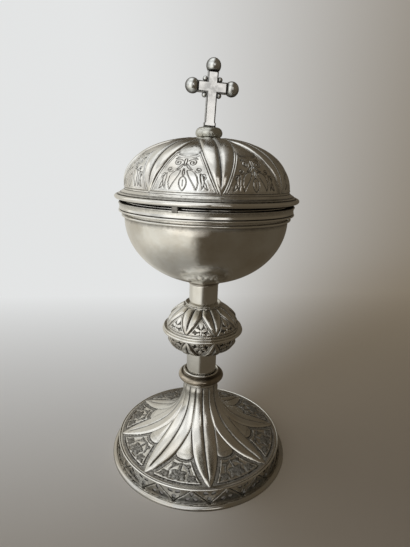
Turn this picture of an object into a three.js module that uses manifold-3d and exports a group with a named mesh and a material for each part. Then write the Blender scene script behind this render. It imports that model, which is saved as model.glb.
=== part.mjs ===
// A covered ciborium: foot, knopped stem, cup and lift-off lid with a ball-ended cross.
// Millimetres, +Z up, the axis on Z, the foot's underside on z = 0, the cross's face towards -Y.
import * as THREE from 'three';
import { mergeVertices } from 'three/addons/utils/BufferGeometryUtils.js';
import Module from 'manifold-3d';

const wasm = await Module();
wasm.setup();

// Sheet, fits and facets
const sheet = 1.0;
const runningGap = 0.3;
const seatGap = 0.1;
const largeSegments = 44;
const smallSegments = 28;
const sectors = 8;

// Foot
const footFlangeRadius = 59.5;
const footFlangeWidth = 4.6;
const footFlangeHeight = 2.3;
const footSeatHeight = 0.6;
const footSeatWidth = 2.5;
const galleryHeight = 9.1;
const galleryWall = 1.0;
const galleryFrets = 16;
const dropLength = 3.0;
const dropWidth = 1.6;
const dropInset = 0.7;
const footRise = 33.9;
const footNeckHeight = 5.8;
const footNeckRadius = 10.8;
const footWireThickness = 1.3;
const footPetalWidth = 7.7;
const footPetalLift = 1.5;
const footTurn = 0;

// Stem
const rodRadius = 3.0;
const rodTail = 2.0;
const neckRingHeight = 2.4;
const neckRingSwell = 0.6;
const stemCollarRadius = 15.1;
const stemCollarHeight = 7.1;
const stemCollarDish = 1.6;
const lowerTubeRadius = 9.8;
const lowerTubeLength = 17.4;
const upperTubeRadius = 9.1;
const upperTubeLength = 13.2;
const cupCollarHeight = 2.8;
const bossRadius = 6.0;
const bossDepth = 9.4;

// Knop
const knopRadius = 23.3;
const knopLowerInset = 0.9;
const girdleProjection = 2.8;
const girdleHeight = 3.2;
const knopLowerHeight = 13.0;
const knopUpperHeight = 13.4;
const knopPetalWidth = 6.3;
const knopPetalLift = 1.1;
const knopTurn = 12.5;
const knopLipRadius = 11.6;
const knopLipHeight = 2.2;
const knopLipFloor = 1.2;

// Cup
const bowlRadius = 48.7;
const bowlHeight = 48.8;
const bowlWallHeight = 10.2;
const bowlFlatRadius = 9.9;
const rimBandProjection = 3.3;
const rimBandHeight = 5.8;
const rimBandDrop = 0.6;
const rimBeadThickness = 1.6;
const rimBeadDrop = 8.4;
const pegWidth = 3.4;
const pegDepth = 2.2;
const pegReach = 1.6;
const pegRise = 1.9;
const pegAzimuth = -25;

// Lid
const lidOverhang = 2.2;
const lidFlangeHeight = 6.5;
const bezelDepth = 8.0;
const bezelClearance = 0.6;
const lidShelfWidth = 5.8;
const domeRise = 28.5;
const domeFlatRadius = 6.0;
const domePetalWidth = 8.2;
const domePetalLift = 1.2;
const lidTurn = 0;

// Finial and cross
const studRadius = 1.1;
const buttonRadius = 7.8;
const buttonHeight = 6.0;
const finialCollarRadius = 5.2;
const finialCollarHeight = 0.6;
const crossRise = 21.0;
const crossReach = 11.1;
const crossWidth = 6.0;
const crossThickness = 3.8;
const crossChamfer = 0.5;
const crossBallRadius = 4.15;
const crossBeadRadius = 1.5;
const crossBeadOffset = 4.1;
const plinthHeight = 2.0;
const plinthOverhang = 0.5;
const crossLean = 2.5;

// Screws
const rodWasherRadius = 8.5;
const rodWasherThickness = 1.2;
const rodNutFlats = 10.0;
const rodNutThickness = 5.0;
const studNutFlats = 5.5;
const studNutThickness = 2.2;
const studTail = 0.8;

// Heights up the axis, each from the piece below
const galleryTop = footSeatHeight + galleryHeight;
const footFlareTop = galleryTop + footRise;
const footTop = footFlareTop + footNeckHeight;
const neckRingTop = footTop + neckRingHeight;
const stemCollarTop = neckRingTop + stemCollarHeight;
const lowerTubeBase = stemCollarTop - stemCollarDish;
const knopBase = lowerTubeBase + lowerTubeLength;
const girdleBase = knopBase + knopLowerHeight;
const girdleTop = girdleBase + girdleHeight;
const knopTop = girdleTop + knopUpperHeight;
const upperTubeBase = knopTop + knopLipFloor;
const upperTubeTop = upperTubeBase + upperTubeLength;
const bowlBase = upperTubeTop + cupCollarHeight;
const bowlRim = bowlBase + bowlHeight;
const domeBase = bowlRim + lidFlangeHeight;
const domeTop = domeBase + domeRise;
const buttonBase = domeTop + finialCollarHeight;
const buttonTop = buttonBase + buttonHeight;

// Radii that follow from their neighbours
const galleryRadius = footFlangeRadius - footFlangeWidth - 2 * runningGap;
const footRimRadius = galleryRadius - runningGap;
const rodBore = rodRadius + runningGap;
const studBore = studRadius + runningGap;
const bezelRadius = bowlRadius - sheet - bezelClearance;
const rimBandRadius = bowlRadius + seatGap + rimBandProjection;
const lidFlangeRadius = rimBandRadius + lidOverhang;
const domeRadius = lidFlangeRadius - lidShelfWidth;
const girdleRadius = knopRadius + girdleProjection;

const radians = THREE.MathUtils.degToRad;

// A mesh with its own metal finish
function piece(name, geometry, colour, roughness) {
  const finish = new THREE.MeshStandardMaterial({ color: colour, roughness, metalness: 1 });
  const mesh = new THREE.Mesh(geometry, finish);
  mesh.name = name;
  return mesh;
}

const silver = (name, geometry) => piece(name, geometry, 0xb9b4a8, 0.32);
const darkSilver = (name, geometry) => piece(name, geometry, 0x8f8a7e, 0.42);
const brass = (name, geometry) => piece(name, geometry, 0xb5954a, 0.35);

// Position and index only, shared vertices merged, slivers dropped, faces turned outward
function closed(geometry) {
  geometry.deleteAttribute('normal');
  geometry.deleteAttribute('uv');
  const merged = mergeVertices(geometry, 1e-4);
  const at = merged.getAttribute('position');
  const old = merged.getIndex().array;
  const kept = [];
  let volume = 0;
  const a = new THREE.Vector3();
  const b = new THREE.Vector3();
  const c = new THREE.Vector3();
  for (let i = 0; i < old.length; i += 3) {
    const corners = [old[i], old[i + 1], old[i + 2]];
    if (new Set(corners).size < 3) continue;
    kept.push(...corners);
    a.fromBufferAttribute(at, corners[0]);
    b.fromBufferAttribute(at, corners[1]);
    c.fromBufferAttribute(at, corners[2]);
    volume += a.dot(b.cross(c)) / 6;
  }
  if (volume < 0) kept.reverse();
  merged.setIndex(kept);
  return merged;
}

// Turns a profile of [radius, height] points about Z; an open profile starts and ends on the axis
function turned(profile, segments) {
  const points = profile.map(([r, z]) => new THREE.Vector2(r, z));
  const first = profile[0];
  const last = profile[profile.length - 1];
  if (first[0] > 0 || last[0] > 0) points.push(points[0].clone());
  const lathe = new THREE.LatheGeometry(points, segments);
  lathe.rotateX(Math.PI / 2);
  return closed(lathe);
}

// Points of an arc in a profile, from one angle to another in degrees, both ends included
function arc(r, z, radiusR, radiusZ, from, to, steps) {
  const out = [];
  for (let i = 0; i <= steps; i += 1) {
    const angle = radians(from + ((to - from) * i) / steps);
    out.push([r + radiusR * Math.cos(angle), z + radiusZ * Math.sin(angle)]);
  }
  return out;
}

const tube = (outer, inner, base, top, segments) =>
  turned([[inner, base], [outer, base], [outer, top], [inner, top]], segments);

function solid(geometry) {
  const vertProperties = new Float32Array(geometry.getAttribute('position').array);
  const triVerts = new Uint32Array(geometry.getIndex().array);
  return new wasm.Manifold(new wasm.Mesh({ numProp: 3, vertProperties, triVerts }));
}

function shape(body) {
  const mesh = body.getMesh();
  const geometry = new THREE.BufferGeometry();
  geometry.setAttribute('position', new THREE.BufferAttribute(mesh.vertProperties, 3));
  geometry.setIndex(new THREE.BufferAttribute(mesh.triVerts, 1));
  return geometry;
}

function cut(geometry, tools) {
  let body = solid(geometry);
  for (const tool of tools) body = body.subtract(solid(closed(tool)));
  return shape(body);
}

// Skins a closed loop of rings, each a list of the same number of points
function loft(rings) {
  const count = rings[0].length;
  const positions = rings.flat(2);
  const index = [];
  for (let row = 0; row < rings.length; row += 1) {
    const next = (row + 1) % rings.length;
    for (let i = 0; i < count; i += 1) {
      const j = (i + 1) % count;
      const corners = [row * count + i, row * count + j, next * count + j, next * count + i];
      index.push(corners[0], corners[1], corners[2], corners[0], corners[2], corners[3]);
    }
  }
  const geometry = new THREE.BufferGeometry();
  geometry.setAttribute('position', new THREE.Float32BufferAttribute(positions, 3));
  geometry.setIndex(index);
  return closed(geometry);
}

// Azimuth 0 faces -Y and grows towards +X
function around(radius, azimuth, z) {
  return [radius * Math.sin(azimuth), -radius * Math.cos(azimuth), z];
}

// Chased petals
// A petal is widest at "length" from its tip; past that the neighbours bound it.
function petalHalfWidth(petal, fromTip, radius) {
  const bound = (Math.PI * radius) / sectors;
  if (fromTip <= 0) return 0;
  const open = petal.width * Math.sin((Math.PI / 2) * Math.min(1, fromTip / petal.length)) ** petal.power;
  return Math.min(open, bound);
}

// Height of the chasing: two lobes with a groove between them, and a tongue between petals
function chasing(petal, offset, fromTip, radius) {
  const halfWidth = petalHalfWidth(petal, fromTip, radius);
  const bound = (Math.PI * radius) / sectors;
  const fullness = Math.min(1, halfWidth / (0.6 * petal.width));
  const distance = Math.abs(offset);
  if (distance < halfWidth) return petal.lift * fullness * Math.sin((Math.PI * distance) / halfWidth);
  const tongueHalf = bound - halfWidth;
  const pastEnd = petal.tongueFrom - fromTip;
  if (!petal.tongue || tongueHalf < 0.01 || pastEnd > 0) return 0;
  const across = (bound - distance) / tongueHalf;
  const rounding = Math.min(1, -pastEnd / petal.tongueRound);
  return 0.7 * petal.lift * Math.sqrt(Math.max(0, rounding * (1 - across * across)));
}

// Azimuths of one sector's columns as shares of its half angle: groove, lobe, edge, panel
function columnShares(petal, fromTip, radius, even) {
  const bound = (Math.PI * radius) / sectors;
  const free = petalHalfWidth(petal, fromTip, radius) / bound;
  const edge = even ? 0.5 : Math.min(0.84, Math.max(0.16, free));
  return petal.tongue ? [0, edge / 2, edge, (1 + edge) / 2, 1] : [0, edge / 2, edge, 1];
}

function sheetRing(radius, z, turn, shares, displaced) {
  const ring = [];
  const half = Math.PI / sectors;
  for (let sector = 0; sector < sectors; sector += 1) {
    const middle = radians(turn) + sector * 2 * half;
    const sides = [...shares.slice(0, -1).map((s) => -s).reverse().slice(0, -1), ...shares];
    for (const share of sides) {
      const [r, h] = displaced ? displaced(share * half * radius) : [radius, z];
      ring.push(around(r, middle + share * half, h));
    }
  }
  return ring;
}

// A chased sheet: profile(t) runs from the rim at t = 0 to the web at t = 1, up or down the axis
function chasedSheet({ profile, up, rows, innerRows, petal, turn, bore, webZ }) {
  const steps = 200;
  const table = [];
  let length = 0;
  for (let i = 0; i <= steps; i += 1) {
    const [r, z] = profile(i / steps);
    if (i > 0) length += Math.hypot(r - table[i - 1].r, z - table[i - 1].z);
    table.push({ r, z, length });
  }
  const normalAt = (i) => {
    const a = table[Math.max(0, i - 1)];
    const b = table[Math.min(steps, i + 1)];
    const size = Math.hypot(b.r - a.r, b.z - a.z);
    return [(up * (b.z - a.z)) / size, (-up * (b.r - a.r)) / size];
  };
  const webInside = webZ - up * sheet;
  const outer = [];
  for (let row = 0; row <= rows; row += 1) {
    const i = Math.round((steps * row) / rows);
    const { r, z, length: along } = table[i];
    const [nr, nz] = normalAt(i);
    const fromTip = along - petal.tipInset;
    const ends = row === 0 || row === rows;
    const fade = Math.min(1, (length - along) / petal.fade);
    const displaced = (offset) => {
      const lift = ends ? 0 : fade * chasing(petal, offset, fromTip, r);
      return [r + nr * lift, z + nz * lift];
    };
    const shares = columnShares(petal, fromTip, r, ends);
    outer.push(sheetRing(r, z, turn, shares, displaced));
  }
  const evenShares = petal.tongue ? [0, 0.25, 0.5, 0.75, 1] : [0, 0.3, 0.6, 1];
  const plain = (r, z) => sheetRing(r, z, turn, evenShares, null);
  const inner = [];
  for (let row = innerRows; row >= 0; row -= 1) {
    const i = Math.round((steps * row) / innerRows);
    const { r, z } = table[i];
    const [nr, nz] = normalAt(i);
    const zIn = row === 0 ? z : z - nz * sheet;
    const keptBelow = up > 0 ? Math.min(zIn, webInside) : Math.max(zIn, webInside);
    inner.push(plain(row === 0 ? r - sheet : r - nr * sheet, keptBelow));
  }
  return loft([...outer, plain(bore, webZ), plain(bore, webInside), ...inner]);
}

// Half of an oval outline with a superellipse's corners, cut off where it meets the web
function ovalProfile(radius, webRadius, base, rise, power, up) {
  const share = webRadius / radius;
  const height = rise / (1 - share ** power) ** (1 / power);
  const last = Math.acos(share ** (power / 2));
  return (t) => {
    const angle = t * last;
    const r = radius * Math.cos(angle) ** (2 / power);
    const z = base + up * height * Math.sin(angle) ** (2 / power);
    return [r, z];
  };
}

// Foot
function footFlange() {
  const inner = galleryRadius - galleryWall - (footSeatWidth - galleryWall) / 2;
  const middle = footFlangeRadius - footFlangeWidth / 2;
  return turned([
    [inner, 0],
    ...arc(middle, 0.5, footFlangeWidth / 2, footFlangeHeight - 0.5, 0, 180, 6).map(
      ([r, z], i) => (i === 0 ? [r, 0] : [r, z])),
    [footFlangeRadius - footFlangeWidth, footSeatHeight],
    [inner, footSeatHeight],
  ], largeSegments);
}

// One drop-shaped hole, long along +X from the middle of its trefoil
function dropCutter() {
  const drop = new THREE.Shape();
  drop.moveTo(dropInset, 0);
  drop.lineTo(dropInset + 0.62 * dropLength, -dropWidth / 2);
  drop.lineTo(dropInset + dropLength, 0);
  drop.lineTo(dropInset + 0.62 * dropLength, dropWidth / 2);
  return new THREE.ExtrudeGeometry(drop, { depth: 4 * galleryWall, bevelEnabled: false });
}

function footGallery() {
  const ring = tube(galleryRadius, galleryRadius - galleryWall, footSeatHeight, galleryTop, 4 * galleryFrets);
  const cutters = [];
  for (let field = 0; field < 2 * galleryFrets; field += 1) {
    const pointsUp = field % 2 === 0;
    const azimuth = radians(footTurn) + (Math.PI * (field + 1)) / galleryFrets;
    const middle = footSeatHeight + galleryHeight * (pointsUp ? 0.4 : 0.6);
    for (let k = 0; k < 3; k += 1) {
      const cutter = dropCutter();
      cutter.rotateZ(radians(pointsUp ? 90 : -90) + (2 * Math.PI * k) / 3);
      cutter.rotateX(Math.PI / 2);
      cutter.translate(0, -(galleryRadius - 2.5 * galleryWall), middle);
      cutter.rotateZ(azimuth);
      cutters.push(cutter);
    }
  }
  return cut(ring, cutters);
}

function footDome() {
  const steepness = 0.466 * footRise;
  const low = [0.31 * (footRimRadius - footNeckRadius), 0.15 * footRise];
  const curve = new THREE.CubicBezierCurve(
    new THREE.Vector2(footRimRadius, galleryTop + sheet),
    new THREE.Vector2(footNeckRadius + 1.2 * low[0], galleryTop + low[1]),
    new THREE.Vector2(footNeckRadius + 0.19 * low[0], galleryTop + steepness),
    new THREE.Vector2(footNeckRadius, footFlareTop));
  const flareShare = footRise / (footRise + footNeckHeight);
  const profile = (t) => (t < flareShare ? curve.getPoint(t / flareShare).toArray()
    : [footNeckRadius, footFlareTop + (t - flareShare) * (footRise + footNeckHeight)]);
  const petal = { width: footPetalWidth, lift: footPetalLift, length: 25, power: 0.75,
    tipInset: 0.8, tongue: true, tongueFrom: 17.4, tongueRound: 4.2, fade: 3 };
  return chasedSheet({ profile, up: 1, rows: 14, innerRows: 9, petal, turn: footTurn,
    bore: rodBore, webZ: footTop });
}

function footWire() {
  const half = footWireThickness / 2;
  const inner = footRimRadius + seatGap;
  return turned(arc(inner + half, galleryTop + half, half, half, 0, 300, 5), largeSegments);
}

// Stem
function neckRing() {
  const middle = footTop + neckRingHeight / 2;
  const swell = arc(footNeckRadius, middle, neckRingSwell, neckRingHeight / 2, -90, 90, 4);
  return turned([[rodBore, footTop], ...swell, [rodBore, neckRingTop]], smallSegments);
}

function stemCollar() {
  const waist = footNeckRadius - 0.4;
  const middle = neckRingTop + 0.4 * stemCollarHeight;
  const bulge = arc(waist + 0.8, middle, stemCollarRadius - waist - 0.8, 0.36 * stemCollarHeight, -72, 62, 6);
  const lip = lowerTubeRadius + 1.2;
  return turned([
    [rodBore, neckRingTop],
    [waist, neckRingTop],
    [waist + 0.4, neckRingTop + 0.3],
    ...bulge,
    [lip + 0.6, stemCollarTop - 0.6],
    [lip, stemCollarTop],
    [lip - 0.5, stemCollarTop - 0.3],
    [lowerTubeRadius + runningGap + 0.3, lowerTubeBase],
    [rodBore, lowerTubeBase],
  ], smallSegments);
}

const lowerTube = () =>
  tube(lowerTubeRadius, lowerTubeRadius - sheet, lowerTubeBase, knopBase, smallSegments);

const upperTube = () =>
  tube(upperTubeRadius, upperTubeRadius - sheet, upperTubeBase, upperTubeTop, smallSegments);

// Knop
const knopPetal = { width: knopPetalWidth, lift: knopPetalLift, length: 16, power: 0.7,
  tipInset: 1.0, tongue: false, fade: 2.5 };

function knopHalf(up, radius, base, height, webRadius, fullness) {
  const profile = ovalProfile(radius, webRadius, base, height, fullness, up);
  return chasedSheet({ profile, up, rows: 7, innerRows: 2, petal: knopPetal, turn: knopTurn,
    bore: rodBore, webZ: base + up * height });
}

const knopLowerShell = () =>
  knopHalf(-1, knopRadius - knopLowerInset, girdleBase, knopLowerHeight, lowerTubeRadius + 0.4, 2.5);
const knopUpperShell = () =>
  knopHalf(1, knopRadius, girdleTop, knopUpperHeight, upperTubeRadius + 1.7, 1.7);

function knopGirdle() {
  const bead = girdleHeight / 2;
  const seat = knopRadius - knopLowerInset - 2 * sheet;
  return turned([
    [seat, girdleBase],
    ...arc(girdleRadius - bead / 2, girdleBase + bead / 2, bead / 2, bead / 2, -90, 60, 3),
    ...arc(girdleRadius - bead / 2 - 0.5, girdleTop - bead / 2, bead / 2, bead / 2, -30, 90, 3),
    [seat, girdleTop],
  ], largeSegments);
}

function knopLip() {
  return turned([
    [rodBore, knopTop],
    [upperTubeRadius + 1.3, knopTop],
    [knopLipRadius, knopTop + 0.8 * knopLipHeight],
    [knopLipRadius - 0.4, knopTop + knopLipHeight],
    [knopLipRadius - 1.2, knopTop + 0.85 * knopLipHeight],
    [upperTubeRadius + runningGap, upperTubeBase],
    [rodBore, upperTubeBase],
  ], smallSegments);
}

// Cup
function cupCollar() {
  const bead = cupCollarHeight / 4;
  const waist = upperTubeRadius + 0.1;
  return turned([
    [bossRadius + runningGap, upperTubeTop],
    [waist, upperTubeTop],
    ...arc(waist, upperTubeTop + bead, 0.7, bead, -60, 60, 2),
    ...arc(waist, upperTubeTop + 3 * bead, 0.5, bead, -60, 30, 2),
    [waist, bowlBase],
    [bossRadius + runningGap, bowlBase],
  ], smallSegments);
}

function cupBoss() {
  const base = bowlBase - bossDepth;
  const blind = bowlBase - 2 * sheet;
  return turned([[0, blind], [rodBore, blind], [rodBore, base], [bossRadius, base],
    [bossRadius, bowlBase], [0, bowlBase]], smallSegments);
}

// Wall points from the flat at the bottom up to the shoulder, for a wall set in by "inset"
function bowlWall(inset) {
  const shoulder = bowlRim - bowlWallHeight;
  const height = (shoulder - bowlBase) / Math.sqrt(1 - (bowlFlatRadius / bowlRadius) ** 2);
  const first = THREE.MathUtils.radToDeg(Math.asin(bowlFlatRadius / (bowlRadius - inset)));
  return arc(0, shoulder, bowlRadius - inset, height - inset, first - 90, 0, 7);
}

function cupBowl() {
  return turned([
    [0, bowlBase],
    ...bowlWall(0),
    [bowlRadius, bowlRim],
    [bowlRadius - sheet, bowlRim],
    ...bowlWall(sheet).reverse(),
    [0, bowlWall(sheet)[0][1]],
  ], largeSegments);
}

function rimBand() {
  const top = bowlRim - rimBandDrop;
  const base = top - rimBandHeight;
  const inner = bowlRadius + seatGap;
  const ring = turned([
    [inner, base - 0.4],
    [rimBandRadius - 0.8, base],
    [rimBandRadius, base + 0.7],
    [rimBandRadius - 0.4, base + 1.5],
    [rimBandRadius - 0.4, top - 1.4],
    [rimBandRadius, top - 0.8],
    [rimBandRadius - 0.6, top],
    [inner, top],
  ], largeSegments);
  return cut(ring, [pegBlock(runningGap)]);
}

function rimBead() {
  const half = rimBeadThickness / 2;
  const ring = arc(bowlRadius + seatGap + half, bowlRim - rimBeadDrop, half, half, 0, 300, 5);
  return turned(ring, largeSegments);
}

// The peg's block, grown by a gap where it is used to cut its seat and its notch
function pegBlock(gap) {
  const radius = rimBandRadius - pegDepth / 2 + 2 * seatGap;
  const base = bowlRim - rimBandDrop - pegReach;
  const block = new THREE.BoxGeometry(
    pegWidth + 2 * gap, pegDepth + 2 * gap + (gap > 0 ? 2 * gap : 0), pegReach + rimBandDrop + pegRise + 2 * gap);
  block.translate(0, -radius, base + (pegReach + rimBandDrop + pegRise) / 2);
  block.rotateZ(radians(pegAzimuth));
  return block;
}

const locatingPeg = () => closed(pegBlock(0));

// Lid
function lidFlange() {
  const inner = bezelRadius + seatGap;
  const tip = lidFlangeRadius;
  const ring = turned([
    [inner, bowlRim],
    [bowlRadius + 1.4, bowlRim],
    [tip - 1.5, bowlRim + 1.0],
    ...arc(tip - 1.3, bowlRim + 2.4, 1.3, 1.4, -60, 100, 5),
    [tip - 2.0, domeBase - 2.6],
    [tip - 2.3, domeBase - 1.7],
    [tip - 3.6, domeBase - 1.4],
    [tip - 4.0, domeBase - 0.6],
    [domeRadius + 0.2, domeBase],
    [inner, domeBase],
  ], largeSegments);
  return cut(ring, [pegBlock(runningGap)]);
}

const lidBezel = () =>
  tube(bezelRadius, bezelRadius - sheet, bowlRim - bezelDepth, domeBase - sheet, largeSegments);

function lidDome() {
  const profile = ovalProfile(domeRadius, domeFlatRadius, domeBase, domeRise, 2.25, 1);
  const petal = { width: domePetalWidth, lift: domePetalLift, length: 31, power: 0.8,
    tipInset: 1.2, tongue: true, tongueFrom: 21.5, tongueRound: 4, fade: 8 };
  return chasedSheet({ profile, up: 1, rows: 11, innerRows: 5, petal, turn: lidTurn,
    bore: studBore, webZ: domeTop });
}

// Finial
const finialCollar = () =>
  tube(finialCollarRadius, studBore, domeTop, buttonBase, smallSegments);

function finialButton() {
  const middle = buttonBase + 0.45 * buttonHeight;
  const flat = finialCollarRadius - 0.6;
  return turned([
    [studBore, buttonBase],
    [flat, buttonBase],
    ...arc(flat, middle, buttonRadius - flat, 0.45 * buttonHeight, -60, 0, 2),
    ...arc(flat, middle, buttonRadius - flat, 0.55 * buttonHeight, 30, 90, 2),
    [studBore, buttonTop],
  ], smallSegments);
}

const studTop = buttonTop + plinthHeight + 1.2;
const nutTop = domeTop - sheet;

function rod(radius, base, top, segments) {
  const bar = new THREE.CylinderGeometry(radius, radius, top - base, segments);
  bar.rotateX(Math.PI / 2);
  bar.translate(0, 0, (base + top) / 2);
  return closed(bar);
}

function nut(flats, bore, base, top) {
  const hexagon = rod(flats / Math.sqrt(3), base, top, 6);
  return cut(hexagon, [rod(bore, base - 1, top + 1, 16)]);
}

const finialStud = () => rod(studRadius, nutTop - studNutThickness - studTail, studTop, 16);
const finialNut = () => nut(studNutFlats, studBore, nutTop - studNutThickness, nutTop);

// Cross, drawn upright with its foot at the origin and its face towards -Y
function crossOutline() {
  const half = crossWidth / 2;
  const reach = crossReach - ballFlat();
  const plinth = half + plinthOverhang;
  const low = crossRise - half;
  const high = crossRise + half;
  const outline = new THREE.Shape();
  outline.moveTo(-plinth, 0);
  for (const [x, y] of [[plinth, 0], [plinth, plinthHeight], [half, plinthHeight + 0.8], [half, low],
    [reach, low], [reach, high], [half, high], [half, crossRise + reach], [-half, crossRise + reach],
    [-half, high], [-reach, high], [-reach, low], [-half, low], [-half, plinthHeight + 0.8],
    [-plinth, plinthHeight]]) outline.lineTo(x, y);
  return outline;
}

// Distance from a ball's centre to the flat that meets an arm's end
function ballFlat() {
  return Math.sqrt(crossBallRadius ** 2 - (crossWidth / 2 + 0.1) ** 2);
}

function crossBody() {
  const face = crossThickness - 2 * crossChamfer;
  const plate = new THREE.ExtrudeGeometry(crossOutline(), { depth: face, bevelThickness: crossChamfer,
    bevelSize: crossChamfer, bevelOffset: -crossChamfer, bevelSegments: 1 });
  plate.rotateX(Math.PI / 2);
  plate.translate(0, face / 2, 0);
  const socket = rod(studBore, -1, studTop - buttonTop + 2 * runningGap, 16);
  return cut(closed(plate), [socket]);
}

function crossBall(turn) {
  const flat = -ballFlat() + seatGap;
  const first = THREE.MathUtils.radToDeg(Math.asin(flat / crossBallRadius));
  const ball = turned([[0, flat], ...arc(0, 0, crossBallRadius, crossBallRadius, first, 90, 7)], 16);
  ball.rotateY(radians(turn));
  return ball;
}

// A small bead cut flat where it lies against both arms
function crossBead(sideX, sideZ) {
  const bead = closed(new THREE.SphereGeometry(crossBeadRadius, 8, 6));
  const wall = crossWidth / 2 + seatGap - crossBeadOffset;
  const tools = [];
  for (const [x, z] of [[sideX, 0], [0, sideZ]]) {
    const block = new THREE.BoxGeometry(4 * crossBeadRadius, 4 * crossBeadRadius, 4 * crossBeadRadius);
    block.translate(x * (wall - 2 * crossBeadRadius), 0, z * (wall - 2 * crossBeadRadius));
    tools.push(block);
  }
  return cut(bead, tools);
}

function cross() {
  const group = new THREE.Group();
  group.add(silver('cross_body', crossBody()));
  for (const [name, turn, x, z] of [['top', 0, 0, crossRise + crossReach],
    ['left', -90, -crossReach, crossRise], ['right', 90, crossReach, crossRise]]) {
    const ball = silver(`cross_ball_${name}`, crossBall(turn));
    ball.position.set(x, 0, z);
    group.add(ball);
  }
  for (const [name, sideX, sideZ] of [['upper_left', -1, 1], ['upper_right', 1, 1],
    ['lower_left', -1, -1], ['lower_right', 1, -1]]) {
    const bead = silver(`cross_bead_${name}`, crossBead(sideX, sideZ));
    bead.position.set(sideX * crossBeadOffset, 0, crossRise + sideZ * crossBeadOffset);
    group.add(bead);
  }
  group.rotation.y = radians(crossLean);
  group.position.z = buttonTop + 2 * seatGap;
  return group;
}

// Rod, washer and nut that clamp the foot, the stem and the cup together
const washerTop = footTop - sheet;
const rodNutTop = washerTop - rodWasherThickness;
const rodBase = rodNutTop - rodNutThickness - rodTail;
const rodTop = bowlBase - 2 * sheet - runningGap;

const tieRod = () => rod(rodRadius, rodBase, rodTop, 16);
const rodWasher = () => tube(rodWasherRadius, rodBore, rodNutTop, washerTop, 24);
const rodNut = () => nut(rodNutFlats, rodBore, rodNutTop - rodNutThickness, rodNutTop);

const ciborium = new THREE.Group();
ciborium.add(
  silver('foot_flange', footFlange()),
  silver('foot_gallery', footGallery()),
  silver('foot_dome', footDome()),
  silver('foot_edge_wire', footWire()),
  silver('foot_neck_ring', neckRing()),
  darkSilver('stem_collar', stemCollar()),
  silver('stem_tube_lower', lowerTube()),
  silver('knop_lower_shell', knopLowerShell()),
  silver('knop_girdle', knopGirdle()),
  silver('knop_upper_shell', knopUpperShell()),
  silver('knop_lip', knopLip()),
  silver('stem_tube_upper', upperTube()),
  silver('cup_collar', cupCollar()),
  darkSilver('cup_boss', cupBoss()),
  silver('cup_bowl', cupBowl()),
  silver('cup_rim_bead', rimBead()),
  silver('cup_rim_band', rimBand()),
  silver('locating_peg', locatingPeg()),
  brass('tie_rod', tieRod()),
  brass('foot_washer', rodWasher()),
  brass('foot_nut', rodNut()),
  silver('lid_flange', lidFlange()),
  silver('lid_bezel', lidBezel()),
  silver('lid_dome', lidDome()),
  silver('finial_collar', finialCollar()),
  silver('finial_button', finialButton()),
  brass('finial_stud', finialStud()),
  brass('finial_nut', finialNut()),
  cross(),
);

export default ciborium;
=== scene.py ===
"""Finished surfaces, finishes and stage for a covered silver ciborium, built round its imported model."""
import math
from types import SimpleNamespace
from typing import NamedTuple

import bpy
import numpy as np
from bpy.props import FloatProperty, FloatVectorProperty, PointerProperty
from mathutils import Matrix, Vector


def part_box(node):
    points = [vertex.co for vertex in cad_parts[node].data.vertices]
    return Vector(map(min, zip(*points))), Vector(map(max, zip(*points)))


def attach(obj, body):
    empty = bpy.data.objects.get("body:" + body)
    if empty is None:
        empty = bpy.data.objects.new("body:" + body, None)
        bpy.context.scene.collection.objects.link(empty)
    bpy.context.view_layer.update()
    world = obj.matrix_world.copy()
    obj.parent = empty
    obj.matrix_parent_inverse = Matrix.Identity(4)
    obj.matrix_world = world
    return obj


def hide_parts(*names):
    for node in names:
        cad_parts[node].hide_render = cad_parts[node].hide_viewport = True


bl_info = {
    "name": "Covered Ciborium",
    "version": (1, 0, 0),
    "blender": (4, 5, 0),
    "location": "3D View > Sidebar > Ciborium",
    "description": "Chased and turned silver surfaces, their finishes and a stage for a covered ciborium",
    "category": "Object",
}

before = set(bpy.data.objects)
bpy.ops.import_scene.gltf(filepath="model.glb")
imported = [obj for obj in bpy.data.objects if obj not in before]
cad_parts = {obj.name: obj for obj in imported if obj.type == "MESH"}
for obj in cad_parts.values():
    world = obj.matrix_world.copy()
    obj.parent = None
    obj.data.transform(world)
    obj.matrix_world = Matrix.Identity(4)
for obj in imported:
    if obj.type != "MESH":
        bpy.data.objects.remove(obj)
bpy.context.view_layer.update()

MM = 0.001
WELD_GAP = 1e-6
CREASE, CHASED_CREASE = 38.0, 62.0
SECTORS = 8
HALF_SECTOR = math.pi / SECTORS
WALL = 1.0 * MM
ROD_HOLE = 3.3 * MM
STUD_HOLE = 1.4 * MM
NECK_BEAD = 0.6 * MM
INSIDE_FILM = 0.35
QUIRK_DEPTH, HOLLOW_DEPTH = 0.10 * MM, 0.16 * MM
CUP_BODY = "cup_and_foot"
LID_BODY = "lid"
LID_NODES = ("lid_", "finial_", "cross_")


def top(node):
    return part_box(node)[1].z


def base(node):
    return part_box(node)[0].z


def reach(node):
    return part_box(node)[1].x


def span(node):
    """A node's lowest and highest level and its greatest radius."""
    low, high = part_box(node)
    return low.z, high.z, high.x


# Sizes and colours that a user may change

def length(name, description, millimetres):
    """A length, its default given in millimetres."""
    return FloatProperty(name=name, description=description, default=millimetres * MM, min=0.0,
                         unit="LENGTH", subtype="DISTANCE", precision=5)


def colour(name, description, default):
    return FloatVectorProperty(name=name, description=description, default=default, size=3, min=0.0, max=1.0,
                               subtype="COLOR")


def brightness(name, description, default):
    return FloatProperty(name=name, description=f"Brightness of {description}", default=default, min=0.0)


class FootSizes(bpy.types.PropertyGroup):
    petal_lift: length("Petal lift", "How far a petal's lobes stand above the foot's ground", 0.95)
    petal_width: length("Petal half width", "Half the width of a petal where it is widest", 7.7)
    border: length("Border", "Width of the sunk matted band round each panel", 2.1)
    ground_depth: length("Ground depth", "How far the matted band is beaten down", 0.30)
    leaf_lift: length("Leaf lift", "How far the foliage stands above its ground", 0.22)


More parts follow.
